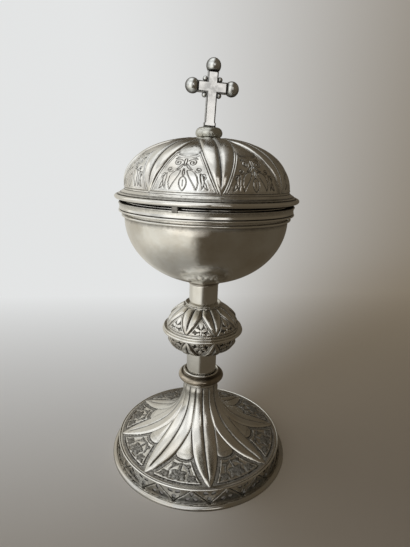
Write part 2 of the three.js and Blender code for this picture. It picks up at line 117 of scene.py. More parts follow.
class KnopSizes(bpy.types.PropertyGroup):
    petal_lift: length("Petal lift", "How far a petal's lobes stand above the knop's ground", 1.2)
    petal_width: length("Petal half width", "Half the width of a petal where it is widest", 6.3)
    leaf_lift: length("Leaf lift", "How far the palmettes stand above their ground", 0.6)


class LidSizes(bpy.types.PropertyGroup):
    petal_lift: length("Petal lift", "How far a petal's lobes stand above the dome", 1.1)
    petal_width: length("Petal half width", "Half the width of a petal where it is widest", 8.2)
    cord: length("Cord", "Width of each of the two cords along a petal", 0.8)
    cut_depth: length("Cut depth", "Depth of the engraved lines", 0.30)
    cut_width: length("Cut width", "Half the width of an engraved line", 0.22)


class FinishSettings(bpy.types.PropertyGroup):
    silver: colour("Silver", "Colour of clean rubbed silver", (0.80, 0.795, 0.765))
    # This one dark colour is both the tarnish in the hollows and the painted shade.
    tarnish: colour("Tarnish", "Colour of the dark film left in the hollows", (0.050, 0.044, 0.034))
    stain: colour("Stain", "Warm film over the parts that are rubbed less", (0.58, 0.52, 0.43))
    gilt: colour("Gilding", "Colour of the gilded inside of the cup", (0.83, 0.62, 0.27))
    brass: colour("Brass", "Colour of the rod, nuts and washer", (0.60, 0.47, 0.24))
    polish: FloatProperty(name="Polish", description="Roughness of the plain turned silver", default=0.17,
                          min=0.0, max=1.0, subtype="FACTOR")


class StageSettings(bpy.types.PropertyGroup):
    # The floor's two colours are painted shade, lighter on the left and darker on the right.
    floor: colour("Floor", "Colour of the plain floor on the left", (0.88, 0.82, 0.73))
    shaded_floor: colour("Dim floor", "Colour of the plain floor on the right", (0.58, 0.48, 0.36))
    # The backdrop's two colours are painted light and shade, glowing for the camera.
    lit_backdrop: colour("Bright backdrop", "Colour of the far backdrop on the left", (0.77, 0.78, 0.78))
    shaded_backdrop: colour("Dim backdrop", "Colour of the far backdrop on the right", (0.215, 0.178, 0.130))
    bright_side: colour("Bright side", "Light of the world from the left and from above", (0.11, 0.11, 0.11))
    dim_side: colour("Dim side", "Light of the world from the right", (0.050, 0.041, 0.030))
    bright_mirrored: colour("Bright half", "Pale half of the studio in the metal", (0.86, 0.86, 0.84))
    dim_mirrored: colour("Dark half", "Dark half of the studio in the metal", (0.115, 0.094, 0.066))
    side_lamp: brightness("Side lamp", "the soft screen on the left", 0.45)
    front_lamp: brightness("Front lamp", "the screen left of the camera", 0.42)
    top_lamp: brightness("Top lamp", "the screen above", 0.35)
    cross_lamp: brightness("Cross lamp", "the small screen that the cross mirrors", 0.95)


class CiboriumSettings(bpy.types.PropertyGroup):
    foot: PointerProperty(type=FootSizes, name="Foot", description="Chasing of the foot")
    knop: PointerProperty(type=KnopSizes, name="Knop", description="Chasing of the knop")
    lid: PointerProperty(type=LidSizes, name="Lid", description="Chasing and engraving of the lid")
    finish: PointerProperty(type=FinishSettings, name="Finish", description="Colours of the metals")
    stage: PointerProperty(type=StageSettings, name="Stage", description="Floor and light")


# Meshes from arrays

def grid_faces(rows, columns, loop_rows):
    """Quads between neighbouring rows and columns of a grid whose columns close on themselves."""
    row = np.arange(rows if loop_rows else rows - 1)[:, None]
    column = np.arange(columns)[None, :]
    next_row = (row + 1) % rows
    next_column = (column + 1) % columns
    corners = (row * columns + column, row * columns + next_column,
               next_row * columns + next_column, next_row * columns + column)
    return np.stack(corners, -1).reshape(-1, 4)


def weld(points, faces, masks):
    """Points closer than a micrometre become one, and quads that lose a side become triangles."""
    keys = np.round(points / WELD_GAP).astype(np.int64)
    _, first, back = np.unique(keys, axis=0, return_index=True, return_inverse=True)
    faces = back.reshape(-1)[faces]
    same_as_next = faces == np.roll(faces, -1, axis=1)
    whole = faces[~same_as_next.any(1)]
    cut = faces[same_as_next.sum(1) == 1]
    triangles = cut[~(cut == np.roll(cut, -1, axis=1))].reshape(-1, 3)
    masks = {name: mask[first] for name, mask in masks.items()}
    return points[first], whole, triangles, masks, back.reshape(-1)


def signed_volume(points, quads, triangles):
    """Sum of the tetrahedra between the origin and each face: positive if the faces point outwards."""
    split = np.concatenate([quads[:, [0, 1, 2]], quads[:, [0, 2, 3]], triangles.reshape(-1, 3)])
    a, b, c = (points[split[:, i]] for i in range(3))
    return float(np.einsum("ij,ij->i", a, np.cross(b, c)).sum()) / 6.0


def piece(name, node, points, faces, finishes, masks, zones=None, crease=CREASE,
          caps=()):
    """A closed mesh from points, quads and flat many-sided caps: welded, turned outwards, smooth but for
    creases, and put on its body in place of its node. Masks are values at the points, zones the finish of
    each face."""
    points, quads, triangles, masks, welded = weld(points, faces, masks)
    caps = [welded[cap] for cap in caps]
    fans = [np.stack([np.full(len(cap) - 2, cap[0]), cap[1:-1], cap[2:]], 1) for cap in caps]
    if signed_volume(points, quads, np.concatenate([triangles, *fans])) < 0:
        quads, triangles, caps = quads[:, ::-1], triangles[:, ::-1], [cap[::-1] for cap in caps]
    corners = np.concatenate([quads.ravel(), triangles.ravel(), *caps]).astype(np.int32)
    sizes = np.concatenate([np.full(len(quads), 4), np.full(len(triangles), 3),
                            [len(cap) for cap in caps]]).astype(np.int32)
    mesh = bpy.data.meshes.new(name)
    mesh.vertices.add(len(points))
    mesh.vertices.foreach_set("co", points.astype(np.float32).ravel())
    mesh.loops.add(len(corners))
    mesh.loops.foreach_set("vertex_index", corners)
    mesh.polygons.add(len(sizes))
    mesh.polygons.foreach_set("loop_start", np.concatenate([[0], np.cumsum(sizes)[:-1]]).astype(np.int32))
    mesh.polygons.foreach_set("use_smooth", np.ones(len(sizes), bool))
    for finish in finishes:
        mesh.materials.append(metal(finish))
    mesh.update(calc_edges=True)
    if mesh.validate():
        raise RuntimeError(f"{name} has faulty faces")
    for mask_name, mask in masks.items():
        mesh.attributes.new(mask_name, "FLOAT", "POINT").data.foreach_set("value", mask.astype(np.float32))
    if zones is not None:
        middles = np.empty(3 * len(sizes), np.float32)
        mesh.polygons.foreach_get("center", middles)
        zone = zones(middles.astype(float).reshape(-1, 3))
        mesh.polygons.foreach_set("material_index", zone.astype(np.int32))
    mesh.set_sharp_from_angle(angle=math.radians(crease))
    made = bpy.data.objects.new(name, mesh)
    bpy.context.scene.collection.objects.link(made)
    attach(made, LID_BODY if node.startswith(LID_NODES) else CUP_BODY)
    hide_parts(node)


# Turned pieces

def rounded(profile, radius, steps=4):
    """Each corner of a closed profile becomes a short arc, a curve of the second degree that meets both
    sides at the same distance from the corner."""
    points = np.asarray(profile, float)
    before, after = np.roll(points, 1, axis=0), np.roll(points, -1, axis=0)
    to_before, to_after = before - points, after - points
    length_before = np.linalg.norm(to_before, axis=1, keepdims=True)
    length_after = np.linalg.norm(to_after, axis=1, keepdims=True)
    cosine = (to_before * to_after).sum(1, keepdims=True) / (length_before * length_after)
    turn = math.pi - np.arccos(np.clip(cosine, -1.0, 1.0))
    cut = np.minimum(radius * np.tan(turn / 2), 0.45 * np.minimum(length_before, length_after))
    start = points + to_before / length_before * cut
    end = points + to_after / length_after * cut
    t = np.linspace(0.0, 1.0, steps + 1)[None, :, None]
    arcs = (1 - t) ** 2 * start[:, None] + 2 * t * (1 - t) * points[:, None] + t ** 2 * end[:, None]
    return arcs.reshape(-1, 2)


def subdivided(profile, step):
    """Extra points along the long sides of a closed profile, at most one step apart."""
    ends = np.roll(profile, -1, axis=0)
    out = []
    for start, end in zip(profile, ends):
        count = max(1, math.ceil(np.linalg.norm(end - start) / step))
        out.append(start + (end - start) * np.arange(count)[:, None] / count)
    return np.concatenate(out)


def hollowness(profile, window=3):
    """How far each point of a closed profile lies behind the mean of its neighbours, inside positive: it
    finds the quirks and corners that hold tarnish."""
    mean = sum(np.roll(profile, shift, axis=0) for shift in range(-window, window + 1)) / (2 * window + 1)
    tangent = np.roll(profile, -1, axis=0) - np.roll(profile, 1, axis=0)
    normal = np.stack([tangent[:, 1], -tangent[:, 0]], 1)
    normal /= np.maximum(np.linalg.norm(normal, axis=1, keepdims=True), 1e-9)
    area = (profile[:, 0] * np.roll(profile[:, 1], -1) - np.roll(profile[:, 0], -1) * profile[:, 1]).sum()
    return ((mean - profile) * normal).sum(1) * np.sign(area)


def revolved(profile, columns):
    """The profile, a list of radius and height, carried once round the axis."""
    angle = np.arange(columns) * 2 * math.pi / columns
    radius, height = profile[:, 0, None], profile[:, 1, None]
    return np.stack([radius * np.sin(angle), -radius * np.cos(angle),
                     height + np.zeros(columns)], -1).reshape(-1, 3)


def turned_piece(name, node, profile, finishes=("Turned Silver",), columns=160, edge=0.15 * MM,
                 step=0.5 * MM, zones=None, painted_shade=None):
    """A ring turned on the lathe: its closed profile with softened corners, carried round the axis. The mask
    is the profile's hollowness, where tarnish gathers, or more where the given painted shade says so for a
    radius and height."""
    line = subdivided(rounded(profile, edge), step)
    hollow_and_shade = np.clip(hollowness(line) / QUIRK_DEPTH, 0.0, 1.0)
    # Painted shade from the given function: darker under lips, in gaps and where parts meet.
    if painted_shade:
        hollow_and_shade = np.maximum(hollow_and_shade, painted_shade(line[:, 0], line[:, 1]))
    masks = {"recess": np.repeat(hollow_and_shade, columns)}
    piece(name, node, revolved(line, columns), grid_faces(len(line), columns, True), finishes, masks,
          zones=zones)


def arc(radius, height, radius_r, radius_z, start, end, steps):
    """Points of an arc in a profile, from one angle to another in degrees."""
    angle = np.radians(np.linspace(start, end, steps + 1))
    return np.stack([radius + radius_r * np.cos(angle), height + radius_z * np.sin(angle)], 1)


def profile_of(*parts):
    """One list of points from single points and lists of them."""
    return np.concatenate([np.atleast_2d(np.asarray(part, float)) for part in parts])


def from_point(radius, height, *offsets):
    """Points of a profile, given in millimetres from one radius and height."""
    return np.array([radius, height]) + np.array(offsets) * MM


# Chased sheets

def smooth_step(value, low, high):
    t = np.clip((value - low) / (high - low), 0.0, 1.0)
    return t * t * (3 - 2 * t)


def ridge(distance, half_width):
    """A round-topped bar, 1 on its middle line and 0 past its half width."""
    return np.sqrt(np.clip(1 - (distance / half_width) ** 2, 0.0, 1.0))


def bell(distance, width):
    """1 on a line, and away from it less by the bell curve of this width."""
    return np.exp(-(distance / width) ** 2)


def distance_to_line(x, y, line):
    """Distance from each place to the nearest of a line's closely set points."""
    return np.hypot(x[..., None] - line[:, 0], y[..., None] - line[:, 1]).min(-1)


def inside_strokes(x, y, strokes):
    """How deep each place lies inside the union of discs strung along the strokes; negative outside."""
    depth = np.full(x.shape, -1.0)
    for line, half_widths in strokes:
        gap = np.hypot(x[..., None] - line[:, 0], y[..., None] - line[:, 1])
        depth = np.maximum(depth, (half_widths - gap).max(-1))
    return depth


def leaf(start, end, bend, width):
    """A pointed leaf along a bowed line: its half width follows a sine, fullest nearer its foot."""
    start, end = np.array(start) * MM, np.array(end) * MM
    t = np.linspace(0.0, 1.0, 40)[:, None]
    across = np.array([end[1] - start[1], start[0] - end[0]])
    middle = (start + end) / 2 + across * bend
    line = (1 - t) ** 2 * start + 2 * t * (1 - t) * middle + t ** 2 * end
    return line, width * MM / 2 * np.sin(math.pi * t[:, 0] ** 0.8) ** 0.9 + 0.05 * MM


def scroll(centre, radius, turns, start, hand):
    """A spiral line that winds inwards and ends in a small round eye."""
    t = np.linspace(0.0, 1.0, 90)
    angle = math.radians(start) + hand * 2 * math.pi * turns * t
    spiral = radius * MM * (1 - 0.80 * t)
    line = np.stack([centre[0] * MM + spiral * np.cos(angle), centre[1] * MM + spiral * np.sin(angle)], 1)
    half_widths = np.zeros(len(t))
    half_widths[-4:] = 0.30 * MM
    return line, half_widths


class Sheet:
    """A chased sheet's outline: a profile of radius and height from its rim to its neck, measured along its
    length, with the normal that faces out."""

    def __init__(self, radius, height, up):
        steps = np.hypot(np.diff(radius), np.diff(height))
        self.along = np.concatenate([[0.0], np.cumsum(steps)])
        self.length = float(self.along[-1])
        self.radius, self.height, self.up = radius, height, up
        d_radius, d_height = np.gradient(radius), np.gradient(height)
        size = np.hypot(d_radius, d_height)
        self.normal = up * d_height / size, -up * d_radius / size

    def at(self, along):
        """Radius, height and normal at these lengths from the rim."""
        values = (self.radius, self.height, *self.normal)
        return [np.interp(along, self.along, v) for v in values]


def petal_form(sizes, power, fullness, tongue_power=2, **lengths):
    """The outline and lobes of a petal and of the tongue between two. The lengths are in millimetres, and
    where no tongue starts there is none."""
    lengths = {name: value * MM for name, value in {"tongue_from": 0.0, **lengths}.items()}
    return SimpleNamespace(width=sizes.petal_width, power=power, fullness=fullness,
                           tongue_power=tongue_power, **lengths)


def bound_at(radius):
    """Half the width of a sector at a radius, measured along the circle."""
    return HALF_SECTOR * radius


def petal_half_width(petal, from_tip, radius):
    """A petal swells from its tip as a power of a sine, until its neighbours bound it."""
    open_width = petal.width * np.sin(
        math.pi / 2 * np.clip(from_tip / petal.length, 0.0, 1.0)) ** petal.power
    return np.minimum(open_width, bound_at(radius))


def petal_edge(sheet, petal):
    """The petal's edge as points measured from the middle line between two petals."""
    along = np.linspace(petal.tip, sheet.length, 500)
    radius = sheet.at(along)[0]
    return np.stack([bound_at(radius) - petal_half_width(petal, along - petal.tip, radius), along], 1)


def tongue_half_width(petal, from_tip, radius):
    """A tongue fills the space between two petals and has a round end."""
    space = bound_at(radius) - petal_half_width(petal, from_tip, radius)
    rounding = np.clip((from_tip - petal.tongue_from) / petal.tongue_round, 0.0, 1.0)
    return space * np.sqrt(rounding * (2 - rounding))


def tongue_edge(sheet, petal):
    along = np.linspace(petal.tip + petal.tongue_from, sheet.length, 500)
    radius = sheet.at(along)[0]
    return np.stack([tongue_half_width(petal, along - petal.tip, radius), along], 1)


def lobes(petal, across, half_width, from_tip):
    """Two full lobes on a petal, a groove between them that dies out towards the tip."""
    place = np.clip(across / np.maximum(half_width, 1e-6), 0.0, 1.0)
    crown = (1 - np.abs(2 * place - 1) ** petal.fullness) ** 0.62
    single = (1 - place ** 2.4) ** 0.7
    parted = smooth_step(from_tip, petal.groove_from, petal.groove_from + petal.groove_fade)
    full = np.minimum(1.0, half_width / (0.55 * petal.width))
    return full * (parted * crown + (1 - parted) * single)


class Places:
    """The places of half a sector of a petalled sheet: across from the petal's middle line, along from the
    rim and x from the middle line between two petals, with their distances to the petal's and the tongue's
    edge, the petal's lobes as crown, and the tongue's round back as swell."""

    def __init__(self, sheet, petal, across, along, radius):
        self.sheet, self.petal, self.across, self.along = sheet, petal, across, along
        self.from_tip = along - petal.tip
        self.half_width = petal_half_width(petal, self.from_tip, radius)
        self.x = bound_at(radius) - across
        self.in_petal = across < self.half_width
        self.ground = ~self.in_petal
        self.to_petal = distance_to_line(self.x, along, petal_edge(sheet, petal))
        self.crown = self.in_petal * lobes(petal, across, self.half_width, self.from_tip)
        if petal.tongue_from:
            self.tongue = tongue_half_width(petal, self.from_tip, radius)
            in_tongue = self.ground & (self.x < self.tongue)
            self.ground = self.ground & ~in_tongue
            self.to_tongue = distance_to_line(self.x, along, tongue_edge(sheet, petal))
            place = self.x / np.maximum(self.tongue, 1e-6)
            rounding = np.clip((self.from_tip - petal.tongue_from) / petal.tongue_round, 0.0, 1.0)
            back = np.sqrt(np.clip(1 - place ** petal.tongue_power, 0.0, 1.0))
            self.swell = in_tongue * (back * np.sqrt(rounding))

    def groove(self, width):
        """Film in the groove between a petal's two lobes."""
        start = self.petal.groove_from
        parted = smooth_step(self.from_tip, start, start + self.petal.groove_fade)
        return parted * self.in_petal * bell(self.across, width)


def sector_shares(edge, lobe_columns, panel_columns):
    """Columns of half a sector as shares of its half angle: they crowd at the groove and at the petal's
    edge, and follow that edge from row to row."""
    eased = np.linspace(0.0, 1.0, lobe_columns + 1)
    lobe = eased - 0.6 * np.sin(2 * math.pi * eased) / (2 * math.pi)
    panel = np.linspace(0.0, 1.0, panel_columns + 1)[1:]
    panel = 0.75 * panel + 0.25 * (1 - np.cos(math.pi * panel)) / 2
    edge = edge[:, None]
    return np.concatenate([edge * lobe, edge + (1 - edge) * panel], 1)


def all_round(half, sign=1):
    """Half a sector's columns mirrored to a whole sector; the repeated edge columns are left out."""
    return np.concatenate([sign * half[:, :0:-1], half[:, :-1]], 1)


def cavity(height):
    """How far each place lies below the mean height round it, by a box blur in both directions."""
    blurred, cells = height, 2
    for axis in (0, 1):
        padded = np.pad(blurred, [(cells, cells) if a == axis else (0, 0) for a in (0, 1)],
                        mode="edge" if axis == 0 else "reflect")
        total = np.cumsum(padded, axis=axis)
        size = 2 * cells
        upper = np.take(total, np.arange(size, total.shape[axis]), axis=axis)
        lower = np.take(total, np.arange(0, total.shape[axis] - size), axis=axis)
        blurred = (upper - lower) / size
    return blurred - height


def chased_piece(name, node, sheet, petal, relief, sizes, rows, columns, finish, bore=ROD_HOLE, turn=0.0):
    """A chased sheet: the relief, worked out over half a sector as height and masks, stands out along the
    normal of the sheet's profile and repeats round the axis; a plain inner wall closes the shell. The
    columns are two counts, over half a petal and over half a panel."""
    radius, height, normal_r, normal_z = sheet.at(rows)
    half_width = petal_half_width(petal, rows - petal.tip, radius)
    shares = sector_shares(np.clip(half_width / bound_at(radius), 0.10, 0.92), *columns)
    across = shares * bound_at(radius)[:, None]
    along = np.broadcast_to(rows[:, None], across.shape)
    places = Places(sheet, petal, across, along, np.broadcast_to(radius[:, None], across.shape))
    lift, dark, matted = relief(places, sizes)
    rim_fade = 0.3 * MM
    lift = lift * (np.minimum(1.0, (sheet.length - along) / petal.fade) * np.minimum(1.0, along / rim_fade))
    dark = np.clip(np.maximum(dark, np.clip(cavity(lift) / HOLLOW_DEPTH, 0.0, 1.0)), 0.0, 1.0)

    angles = all_round(shares, -1) * HALF_SECTOR
    middle = turn + np.repeat(np.arange(SECTORS), angles.shape[1]) * 2 * HALF_SECTOR
    angles = np.tile(angles, (1, SECTORS)) + middle
    lift, dark, matted = (np.tile(all_round(values), (1, SECTORS)) for values in (lift, dark, matted))
    out_r = radius[:, None] + normal_r[:, None] * lift
    out_z = height[:, None] + normal_z[:, None] * lift

    inner_rows = np.linspace(sheet.length, 0.0, 14)
    in_r, in_z, in_nr, in_nz = sheet.at(inner_rows)
    in_r, in_z = in_r - in_nr * WALL, in_z - in_nz * WALL
    in_r[-1], in_z[-1] = sheet.radius[0] - WALL, sheet.height[0]
    web = sheet.height[-1]
    limit = web - sheet.up * WALL
    in_z = np.minimum(in_z, limit) if sheet.up > 0 else np.maximum(in_z, limit)
    in_r = np.concatenate([[bore, bore], in_r])
    in_z = np.concatenate([[web, limit], in_z])
    rest = np.zeros((len(in_r), angles.shape[1]))
    all_r = np.concatenate([out_r, in_r[:, None] + rest])
    all_z = np.concatenate([out_z, in_z[:, None] + rest])
    all_angles = np.concatenate([angles, angles[0] + rest])
    points = np.stack([all_r * np.sin(all_angles), -all_r * np.cos(all_angles), all_z], -1).reshape(-1, 3)
    masks = {"recess": np.concatenate([dark, rest + INSIDE_FILM]).ravel(),
             "matted": np.concatenate([matted, rest]).ravel()}
    piece(name, node, points, grid_faces(*all_r.shape, True), (finish,), masks,
          crease=CHASED_CREASE)


# Shader groups and finishes

FLOAT, COLOUR, VECTOR = "NodeSocketFloat", "NodeSocketColor", "NodeSocketVector"


def plug(tree, sockets, values):
    """Feeds sockets, named or numbered, from other sockets or with plain values; a colour of three parts
    gets its fourth."""
    for key, value in values.items():
        socket = sockets[key]
        if isinstance(value, bpy.types.NodeSocket):
            tree.links.new(value, socket)
        elif socket.type == "RGBA":
            socket.default_value = (*value, 1.0)
        else:
            socket.default_value = value


def add_node(tree, kind, inputs=None, **settings):
    """A node with these settings and what feeds its inputs."""
    made = tree.nodes.new(kind)
    for name, value in settings.items():
        setattr(made, name, value)
    plug(tree, made.inputs, inputs or {})
    return made


def maths(tree, operation, *values, clamp=False):
    """A Math node whose inputs are sockets or numbers."""
    return add_node(tree, "ShaderNodeMath", dict(enumerate(values)), operation=operation,
                    use_clamp=clamp).outputs[0]


def mixed(tree, factor, first, second):
    """A colour Mix node whose inputs are sockets, numbers or colours."""
    return add_node(tree, "ShaderNodeMix", {0: factor, 6: first, 7: second}, data_type="RGBA").outputs[2]


def ramped(tree, value, low, high, shape="SMOOTHSTEP"):
    """0 where the value is low, 1 where it is high, and a ramp between."""
    return add_node(tree, "ShaderNodeMapRange", {"Value": value, "From Min": low, "From Max": high},
                    interpolation_type=shape).outputs[0]


def noise(tree, place, feature, detail=3.0, roughness=0.55):
    """Noise whose features are about this many metres across."""
    return add_node(tree, "ShaderNodeTexNoise", {"Vector": place, "Scale": 1.0 / feature, "Detail": detail,
                                                 "Roughness": roughness}).outputs["Fac"]


def new_group(name, inputs, outputs):
    """An empty shader group with a place and these sockets; what it takes in and gives out come with it."""
    tree = bpy.data.node_groups.new(name, "ShaderNodeTree")
    for socket_name, kind, value in [("Place", VECTOR, None), *inputs]:
        socket = tree.interface.new_socket(socket_name, in_out="INPUT", socket_type=kind)
        if value is not None:
            socket.default_value = value
    for socket_name, kind in outputs:
        tree.interface.new_socket(socket_name, in_out="OUTPUT", socket_type=kind)
    return tree, tree.nodes.new("NodeGroupInput").outputs, tree.nodes.new("NodeGroupOutput").inputs


def tarnish_and_shade_group():
    """Dark film where the mask says: tarnish in the hollows, and painted shade in gaps, under lips, on
    bevels and round ball rims. The film has a broken edge, and a warm cloudy stain lies over the rest.
    """
    tree, start, end = new_group("Tarnish", [
        ("Recess", FLOAT, 0.0), ("Silver", COLOUR, None), ("Film", COLOUR, None), ("Stain", COLOUR, None),
        ("Stain Amount", FLOAT, 0.4)], [("Colour", COLOUR), ("Film Mask", FLOAT)])
    place, recess = start["Place"], start["Recess"]
    broken = maths(tree, "MULTIPLY_ADD", noise(tree, place, 1.6 * MM), 0.55, -0.27)
    speckle = maths(tree, "GREATER_THAN", noise(tree, place, 2.2 * MM, 4.0, 0.7), 0.735)
    film = maths(tree, "MULTIPLY", maths(tree, "ADD", recess, broken),
                 maths(tree, "LESS_THAN", 0.04, recess), clamp=True)
    film = maths(tree, "MAXIMUM", film, maths(tree, "MULTIPLY", speckle, 0.25), clamp=True)
    cloud = ramped(tree, noise(tree, place, 26 * MM, 5.0, 0.62), 0.42, 0.66, "LINEAR")
    stain = maths(tree, "MULTIPLY", cloud, start["Stain Amount"], clamp=True)
    clean = mixed(tree, stain, start["Silver"], start["Stain"])
    plug(tree, end, {"Colour": mixed(tree, film, clean, start["Film"]), "Film Mask": film})
    return tree


def turning_group():
    """Fine rings left by the lathe: noise over the distance from the axis and the height only."""
    tree, start, end = new_group("Turning Marks", [("Ring Width", FLOAT, 0.3 * MM)], [("Height", FLOAT)])
    x, y, height = add_node(tree, "ShaderNodeSeparateXYZ", {0: start["Place"]}).outputs
    square = [maths(tree, "MULTIPLY", value, value) for value in (x, y)]
    radius = maths(tree, "SQRT", maths(tree, "ADD", *square))
    rings = [maths(tree, "DIVIDE", value, start["Ring Width"]) for value in (radius, height)]
    place = add_node(tree, "ShaderNodeCombineXYZ", dict(enumerate(rings))).outputs[0]
    plug(tree, end, {"Height": noise(tree, place, 1.0, 2.0, 0.6)})
    return tree


def handling_group():
    """Years of rubbing: shallow dents a few millimetres wide, hairline scratches at two slants and the
    patchy dullness between them."""
    tree, start, end = new_group("Handling", [],
                                 [("Dents", FLOAT), ("Scratches", FLOAT), ("Dullness", FLOAT)])
    place = start["Place"]
    lines = []
    for slant, lengthwise in ((0.5, 0.06), (-0.9, 0.05)):
        turned = add_node(tree, "ShaderNodeMapping", {
            "Vector": place, "Rotation": (slant, 0.4 * slant, slant), "Scale": (1.0, lengthwise, 1.0)})
        lines.append(noise(tree, turned.outputs[0], 0.5 * MM, 2.0, 0.5))
    plug(tree, end, {"Dents": noise(tree, place, 9 * MM, 2.0, 0.5),
                     "Scratches": maths(tree, "MULTIPLY", *lines),
                     "Dullness": noise(tree, place, 5 * MM, 4.0, 0.65)})
    return tree


def matting_group():
    """A ground stippled with a round punch: small pits set close together."""
    tree, start, end = new_group("Matting", [("Punch", FLOAT, 0.85 * MM)], [("Height", FLOAT)])
    cell = add_node(tree, "ShaderNodeCombineXYZ", {axis: start["Punch"] for axis in range(3)})
    scaled = add_node(tree, "ShaderNodeVectorMath", {0: start["Place"], 1: cell.outputs[0]},
                      operation="DIVIDE")
    pits = add_node(tree, "ShaderNodeTexVoronoi", {"Vector": scaled.outputs[0], "Scale": 1.0,
                                                   "Randomness": 0.8})
    plug(tree, end, {"Height": pits.outputs["Distance"]})
    return tree


def filing_group():
    """Strokes of a fine file: noise drawn out ten times in height."""
    tree, start, end = new_group("File Strokes", [], [("Height", FLOAT)])
    drawn = add_node(tree, "ShaderNodeMapping", {"Vector": start["Place"], "Scale": (1.0, 1.0, 0.1)})
    plug(tree, end, {"Height": noise(tree, drawn.outputs[0], 0.8 * MM, 1.0, 0.5)})
    return tree


GROUP_MAKERS = {"Tarnish": tarnish_and_shade_group, "Turning Marks": turning_group, "Handling": handling_group,
                "Matting": matting_group, "File Strokes": filing_group}


def use_group(tree, name, inputs):
    """A group node of this name, built on its first use; its outputs come back."""
    shared = bpy.data.node_groups.get(name) or GROUP_MAKERS[name]()
    return add_node(tree, "ShaderNodeGroup", inputs, node_tree=shared).outputs


def attribute(tree, name):
    return add_node(tree, "ShaderNodeAttribute", attribute_name=name).outputs["Fac"]


class Finish(NamedTuple):
    """A metal's colour with shares of its three parts, which make darker copies of the silver that paint
    shade and a lighter copy that paints light, its roughness past the polish, how much of it is stained, how
    much of its mask's dark film it keeps, both tarnish and painted shade, and the depths of its marks in
    millimetres."""
    metal: str = "silver"
    tint: tuple = (1.0, 1.0, 1.0)
    rougher: float = 0.0
    stained: float = 0.0
    film: float = 1.0
    turning: float = 0.0
    dents: float = 0.0
    scratches: float = 0.0
    matting: float = 0.0
    filing: float = 0.0


FINISHES = {
    "Turned Silver": Finish(stained=0.34, turning=0.002, dents=0.10, scratches=0.004),
    "Bowl Silver": Finish(rougher=0.02, stained=0.60, turning=0.008, dents=0.28, scratches=0.005),
    # A darker copy of the turned silver: painted shade on the rolled flange and on the small rings, washer
    # and peg that sit in shade.
    "Dark Turned Silver": Finish(tint=(0.62, 0.62, 0.62), stained=0.75, turning=0.004, dents=0.05,
                                 scratches=0.004),
    # A dark brown copy for the ring collar: painted shade for the dark that the ring mirrors.
    "Stained Turned Silver": Finish(tint=(0.22, 0.185, 0.145), stained=0.9, turning=0.003, dents=0.05,
                                    scratches=0.004),
    "Chased Silver": Finish(rougher=0.04, stained=0.52, dents=0.06, scratches=0.005, matting=0.16),
    # A darker copy for the knop's lower half, which faces down: painted shade.
    "Dull Chased Silver": Finish(tint=(0.70, 0.70, 0.70), rougher=0.06, stained=0.70, dents=0.06,
                                 scratches=0.005, matting=0.16),
    # A lighter, cooler copy of the silver for the dome: painted light.
    "Lid Silver": Finish(tint=(1.07, 1.09, 1.12), rougher=0.03, stained=0.55, dents=0.06, scratches=0.005),
    "Cast Silver": Finish(tint=(0.92, 0.95, 0.98), rougher=0.08, stained=0.10, dents=0.02,
                          scratches=0.001),
    "Button Silver": Finish(tint=(0.72, 0.74, 0.72), rougher=0.06, stained=0.20, dents=0.04,
                            scratches=0.002),
    "Filed Silver": Finish(tint=(1.0, 1.02, 1.07), stained=0.10, dents=0.20, scratches=0.001,
                           filing=0.003),
    "Gilded Silver": Finish(metal="gilt", rougher=0.04, stained=0.10, film=0.4, turning=0.004, dents=0.08,
                            scratches=0.004),
    "Fitting Brass": Finish(metal="brass", rougher=0.21, stained=0.5, turning=0.010, dents=0.02,
                            scratches=0.006),
}
FILM_ROUGHNESS = 0.35
PIT_ROUGHNESS = 0.16
PATCHINESS = 0.32


def metal_colour(finish):
    clean = getattr(bpy.context.scene.ciborium.finish, finish.metal)
    return tuple(c * part for c, part in zip(clean, finish.tint))


def metal(name):
    """The finish of this name: a metal with tarnish in its hollows, painted shade where its mask says so,
    and a cloudy stain, dull where they are, with the heights of its marks in one bump."""
    found = bpy.data.materials.get(name)
    if found:
        return found
    finish, settings = FINISHES[name], bpy.context.scene.ciborium.finish
    made = bpy.data.materials.new(name)
    made.use_nodes = True
    tree = made.node_tree
    place = {"Place": add_node(tree, "ShaderNodeTexCoord").outputs["Object"]}
    recess = maths(tree, "MULTIPLY", attribute(tree, "recess"), finish.film)
    if finish.matting:
        matted = attribute(tree, "matted")
        pits = use_group(tree, "Matting", place)["Height"]
        in_pits = maths(tree, "MULTIPLY", matted, maths(tree, "SUBTRACT", 0.62, pits))
        recess = maths(tree, "ADD", recess, maths(tree, "MULTIPLY", in_pits, 0.7), clamp=True)
    tarnish = use_group(tree, "Tarnish", {
        **place, "Recess": recess, "Silver": metal_colour(finish), "Film": settings.tarnish,
        "Stain": settings.stain, "Stain Amount": finish.stained})

    handling = use_group(tree, "Handling", place)
    rough = maths(tree, "ADD", settings.polish + finish.rougher,
                  maths(tree, "MULTIPLY", tarnish["Film Mask"], FILM_ROUGHNESS))
    patchy = maths(tree, "MULTIPLY", maths(tree, "SUBTRACT", handling["Dullness"], 0.5), PATCHINESS)
    rough = maths(tree, "ADD", rough, patchy, clamp=True)
    if finish.matting:
        rough = maths(tree, "ADD", rough, maths(tree, "MULTIPLY", matted, PIT_ROUGHNESS), clamp=True)

    marks = [maths(tree, "MULTIPLY", handling["Dents"], finish.dents * MM),
             maths(tree, "MULTIPLY", handling["Scratches"], finish.scratches * MM)]
    for group, depth in (("Turning Marks", finish.turning), ("File Strokes", finish.filing)):
        if depth:
            marks.append(maths(tree, "MULTIPLY", use_group(tree, group, place)["Height"], depth * MM))
    if finish.matting:
        marks.append(maths(tree, "MULTIPLY", maths(tree, "MULTIPLY", pits, finish.matting * MM), matted))
    height = marks[0]
    for mark in marks[1:]:
        height = maths(tree, "ADD", height, mark)
    bump = add_node(tree, "ShaderNodeBump", {"Strength": 1.0, "Distance": 1.0, "Height": height})
    plug(tree, tree.nodes["Principled BSDF"].inputs, {
        "Metallic": 1.0, "Base Color": tarnish["Colour"], "Roughness": rough,
        "Normal": bump.outputs["Normal"]})
    return made


